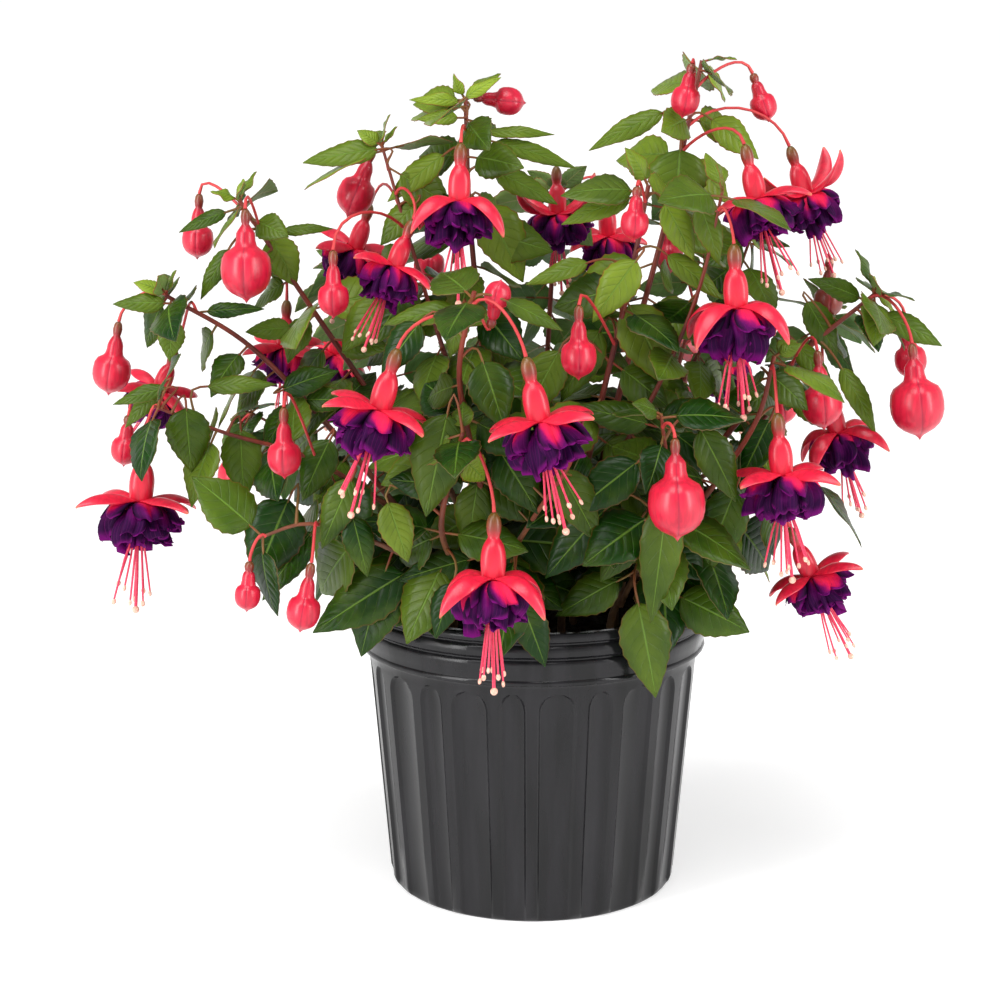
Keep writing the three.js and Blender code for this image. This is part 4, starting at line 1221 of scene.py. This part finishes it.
# Blooms, in mm, hanging down from the ovary's top
tubeLook = {
    "profile": [
        (0, 0.3), (1.5, 0), (2.7, -1.4), (3.7, -4), (3.9, -7), (3.4, -10), (2.7, -12), (3.3, -13),
        (5.0, -15), (6.2, -18.5), (6.7, -22.5), (6.6, -26.5), (6.1, -30), (5.9, -32.6), (5.2, -33.2),
        (4.6, -31), (3.6, -27), (0, -25),
    ],
    "steps": 24, "fruitEnd": 13, "end": 33, "rib": 0.045, "ribFrom": -12, "ribFull": -20,
}
sepalLook = {
    "half": 7.5, "columns": 4, "rows": 11, "thickness": 1.1, "start": 0.1,
    "ringRadius": 6.1, "ringHeight": -31.5, "lift": (-2.5, 2.5), "sway": (-3, 3), "cup": (0.4, 0.75),
    "keel": 0.6, "wave": 0.6,
}
petalLook = {
    "thickness": 0.3, "rows": 10, "least": 1.2, "foldWidth": 0.22, "lipFrom": 0.55, "sideShort": 0.2,
    "layers": [  # petals, columns, curve of radius and height, half angle, ruffle, share of a turn, tone
        (5, 14, [(3.6, -33.9), (16, -29.5), (28, -38), (18.5, -47)], 29, 2.6, 0.0, -0.3),
        (6, 14, [(3.2, -34.4), (14, -31), (28, -42.5), (17.5, -52.5)], 27, 3.0, 0.4, 0.0),
        (5, 14, [(2.6, -36), (12, -35), (25, -46.5), (14.0, -56.5)], 34, 3.4, 0.25, 0.3),
        (5, 10, [(2.3, -36), (7, -38), (15, -47.5), (12.0, -58)], 42, 3.2, 0.7, 0.42),
        (4, 10, [(2.0, -36), (4, -42), (8, -49.5), (6.5, -57.5)], 52, 2.4, 0.1, 0.5),
    ],
    "turn": (-0.12, 0.12), "drop": (-4.0, 4.5), "swell": (0.82, 1.0), "twist": (-4.5, 4.5),
    "spread": (0.88, 1.1), "tuck": (3.5, 8.0), "roll": (-1.5, 6.0), "foldAt": (-0.5, 0.5),
    "foldDepth": (1.5, 6.5), "shade": (-0.14, 0.2),
}
stamenLook = {
    "count": 8, "turn": (-0.2, 0.2), "reach": (4.5, 13), "end": (-84, -74), "radii": [0.56, 0.6, 0.6, 0.5],
    "tip": (0.9, 1.2, 1.7), "style": [(0, 0, -34), (0, 0, -55), (1.0, 0.4, -72), (1.4, 0.6, -88)],
    "styleRadii": [0.85, 0.8, 0.78, 0.9], "styleTip": (1.9, 1.9, 2.0), "styleTipAt": (1.5, 0.6, -88.4),
}


# The control points of a curve that passes through a sepal's root, two middles and tip
def throughPoints(path):
    p0, p1, p2, p3 = (np.array(point, float) for point in path)
    return p0, (-5 * p0 + 18 * p1 - 9 * p2 + 2 * p3) / 6, (2 * p0 - 9 * p1 + 18 * p2 - 5 * p3) / 6, p3


def addSepal(bm, form, turn, draw):
    path = throughPoints(sepalForms[form])
    lift, sway, cup = (draw.uniform(*sepalLook[key]) for key in ("lift", "sway", "cup"))
    start, ring = sepalLook["start"], sepalLook["ringRadius"]

    def place(x, v):
        t = start + (1 - start) * v
        wide = sepalLook["half"] * max(math.sin(math.pi * (0.2 + 0.8 * v) ** 1.15) ** 0.75, 0.05)
        along = unit(cubic(path, min(t + 0.02, 1)) - cubic(path, t - 0.02))
        shift = sepalLook["keel"] * math.exp(-8 * abs(x)) - cup * wide * x * x
        shift += sepalLook["wave"] * abs(x) * math.sin(6 * v + 3 * x)
        radius, height = cubic(path, t) + shift * np.array([-along[1], along[0]])
        flat = np.array([radius, x * wide + sway * v * v, height + lift * v * v])
        angle = x * math.radians(45)
        root = np.array([ring * math.cos(angle), ring * math.sin(angle), sepalLook["ringHeight"] + 3 * v])
        point = lerp(root, flat, smoothStep(0, 0.3, v))
        return (point[0] * math.cos(turn) - point[1] * math.sin(turn),
                point[0] * math.sin(turn) + point[1] * math.cos(turn), point[2])

    made = addSheet(bm, sepalLook["columns"], sepalLook["rows"], place, 0.0)
    layer = bm.verts.layers.float["along"]
    for vert in made:
        vert[layer] = lerp(0.42, 1, vert[layer])


def addPetal(bm, layer, index, draw):
    count, columns, path, half, ruffle, offset, tone = layer
    path = [np.array(point, float) for point in path]
    turn = 2 * math.pi * (index + offset) / count + draw.uniform(*petalLook["turn"])
    phase, second = draw.uniform(0, 6), draw.uniform(0, 6)
    drop, swell, twist = (draw.uniform(*petalLook[key]) for key in ("drop", "swell", "twist"))
    half = math.radians(half) * draw.uniform(*petalLook["spread"])
    tuck, roll, foldAt, foldDepth = (
        draw.uniform(*petalLook[key]) for key in ("tuck", "roll", "foldAt", "foldDepth"))

    def place(x, v):
        v = v * (1 - petalLook["sideShort"] * abs(x) ** 2.6)
        radius, height = cubic(path, v)
        wave = ruffle * v ** 1.8
        lip = (max(v - petalLook["lipFrom"], 0) / (1 - petalLook["lipFrom"])) ** 2
        radius = radius * swell + twist * x * v - tuck * v ** 0.8 * x * x * (1 - 0.35 * lip)
        radius -= foldDepth * v * math.exp(-((x - foldAt) / petalLook["foldWidth"]) ** 2)
        radius += roll * lip + wave * (0.75 * math.sin(5 * x + phase) + 0.45 * math.sin(10 * x + second))
        height += drop * v * v + 0.4 * wave * math.cos(6 * x + second) + 1.3 * roll * lip * lip
        fan = half * x * (0.75 + 0.3 * math.sin(math.pi * v ** 0.8))
        angle = turn + fan + 0.07 * v * math.sin(7 * v + phase)
        radius = max(radius, petalLook["least"])
        return radius * math.cos(angle), radius * math.sin(angle), height

    addSheet(bm, columns, petalLook["rows"], place, tone + draw.uniform(*petalLook["shade"]))


def makeTube(number, matrix):
    def alongAt(vert):
        depth = -vert.co.z / mm
        if depth < tubeLook["fruitEnd"]:
            return lerp(0.0, 0.16, depth / tubeLook["fruitEnd"])
        return lerp(0.16, 0.42, (depth - tubeLook["fruitEnd"]) / (tubeLook["end"] - tubeLook["fruitEnd"]))

    bm = newShape()
    made = addTurned(bm, tubeLook["profile"], tubeLook["steps"])
    paint(bm, made, "along", alongAt)
    for vert in made:
        turn = math.atan2(vert.co.y, vert.co.x)
        low = smoothStep(tubeLook["ribFrom"], tubeLook["ribFull"], vert.co.z / mm)
        rib = 1 + tubeLook["rib"] * low * math.cos(4 * turn + math.pi)
        vert.co.x *= rib
        vert.co.y *= rib
    bmesh.ops.transform(bm, matrix=matrix, verts=bm.verts)
    makePiece(bm, number + "_tube", [looks["calyx"]], [number + "_calyx"], levels=1)


def makeSepals(number, matrix, form, draw):
    bm = newShape()
    for i in range(4):
        addSepal(bm, form, sepalTurn(i), draw)
    bmesh.ops.transform(bm, matrix=matrix, verts=bm.verts)
    bmesh.ops.reverse_faces(bm, faces=bm.faces)
    makePiece(bm, number + "_sepals", [looks["calyx"]], [number + "_calyx"],
              thickness=sepalLook["thickness"], levels=1)


def makePetals(number, matrix, draw):
    bm = newShape()
    for layer in petalLook["layers"]:
        for i in range(layer[0]):
            addPetal(bm, layer, i, draw)
    bmesh.ops.transform(bm, matrix=matrix, verts=bm.verts)
    makePiece(bm, number + "_petals", [looks["petal"]], [number + "_corolla"],
              thickness=petalLook["thickness"])


def makeStamens(number, matrix, draw):
    bm = newShape()
    threads, tips = [], []
    for i in range(stamenLook["count"]):
        turn = 2 * math.pi * (i + draw.uniform(*stamenLook["turn"])) / stamenLook["count"]
        reach, end = draw.uniform(*stamenLook["reach"]), draw.uniform(*stamenLook["end"])
        out = np.array([math.cos(turn), math.sin(turn), 0])
        route = (0.8, -34), (2.0, -48), (reach * 0.6, -62), (reach, end)
        points = [out * radius + up * height for radius, height in route]
        threads.append((points, stamenLook["radii"]))
        tips.append((points[-1] - up * 0.8, stamenLook["tip"], unit(points[-1] - points[-2])))
    threads.append((stamenLook["style"], stamenLook["styleRadii"]))
    tips.append((stamenLook["styleTipAt"], stamenLook["styleTip"], -up))
    paint(bm, addTubes(bm, threads, 6), "tone", 0.0)
    for centre, radii, axis in tips:
        paint(bm, addBall(bm, centre, radii, axis), "tone", 1.0)
    bmesh.ops.transform(bm, matrix=matrix, verts=bm.verts)
    makePiece(bm, number + "_stamens", [looks["stamen"]], [number + "_calyx"])


for index, (top, lean, size, form, _) in enumerate(blooms):
    number = f"bloom_{index + 1:02d}"
    draw = random.Random(number)
    matrix = inMetres(top, lean, size)
    makeTube(number, matrix)
    makeSepals(number, matrix, form, draw)
    makePetals(number, matrix, draw)
    makeStamens(number, matrix, draw)
print("blooms made")

# Floor, lights and camera
studio = {
    "floorSize": 90, "floorGlow": 0.72, "band": (0.17, 0.42), "bandStrength": 1.02, "domeStrength": 0.36,
    "aim": (0, 0, 0.24),
    "sun": {"place": (-0.2, -0.44, 1.25), "angle": 42, "power": 1.95},
    "key": {"place": (-1.3, -1.0, 0.7), "size": 0.5, "tall": 1.6, "power": 22},
    "fill": {"place": (1.5, -0.9, 0.8), "size": 0.35, "tall": 1.6, "power": 20},
    "pitch": 0.1908, "lens": 76.4, "sensor": 36,
}


def addLight(name, settings):
    data = bpy.data.lights.new(name, "AREA" if "size" in settings else "SUN")
    if "size" in settings:
        data.shape = "RECTANGLE"
        data.size, data.size_y = settings["size"], settings["tall"]
    else:
        data.angle = math.radians(settings["angle"])
    data.energy = settings["power"]
    lamp = objectFrom(name, data)
    lamp.location = settings["place"]
    lamp.rotation_euler = (Vector(studio["aim"]) - lamp.location).to_track_quat("-Z", "Y").to_euler()


def makeFloor():
    bm = bmesh.new()
    bmesh.ops.create_grid(bm, x_segments=1, y_segments=1, size=studio["floorSize"] / 2)
    floor = objectFrom("floor", meshFrom("floor", bm))
    material, _, _ = newMaterial("floor", {
        "Base Color": tint("floor"), "Roughness": 0.6, "Specular IOR Level": 0.1,
        "Emission Color": tint("floor"), "Emission Strength": studio["floorGlow"],
    })
    floor.data.materials.append(material)


# The world is bright along the horizon and dimmer above
def makeWorld():
    world = bpy.data.worlds.new("studio")
    world.use_nodes = True
    tree = world.node_tree
    background = tree.nodes["Background"]
    height = addNode(tree, "SeparateXYZ", {0: addNode(tree, "TexCoord", {}).outputs[0]}).outputs[2]
    strength = spread(tree, height, *studio["band"], studio["bandStrength"], studio["domeStrength"])
    tree.links.new(strength, background.inputs["Strength"])
    background.inputs["Color"].default_value = tint("sky")
    bpy.context.scene.world = world


def makeCamera():
    data = bpy.data.cameras.new("camera")
    data.sensor_width = studio["sensor"]
    data.lens = studio["lens"]
    camera = objectFrom("camera", data)
    camera.location = viewer * mm
    camera.rotation_euler = (math.pi / 2 - studio["pitch"], 0, 0)
    bpy.context.scene.camera = camera
    bpy.context.scene.view_settings.view_transform = "Standard"


makeFloor()
makeWorld()
for name in ("sun", "key", "fill"):
    addLight(name, studio[name])
makeCamera()
print("studio made")
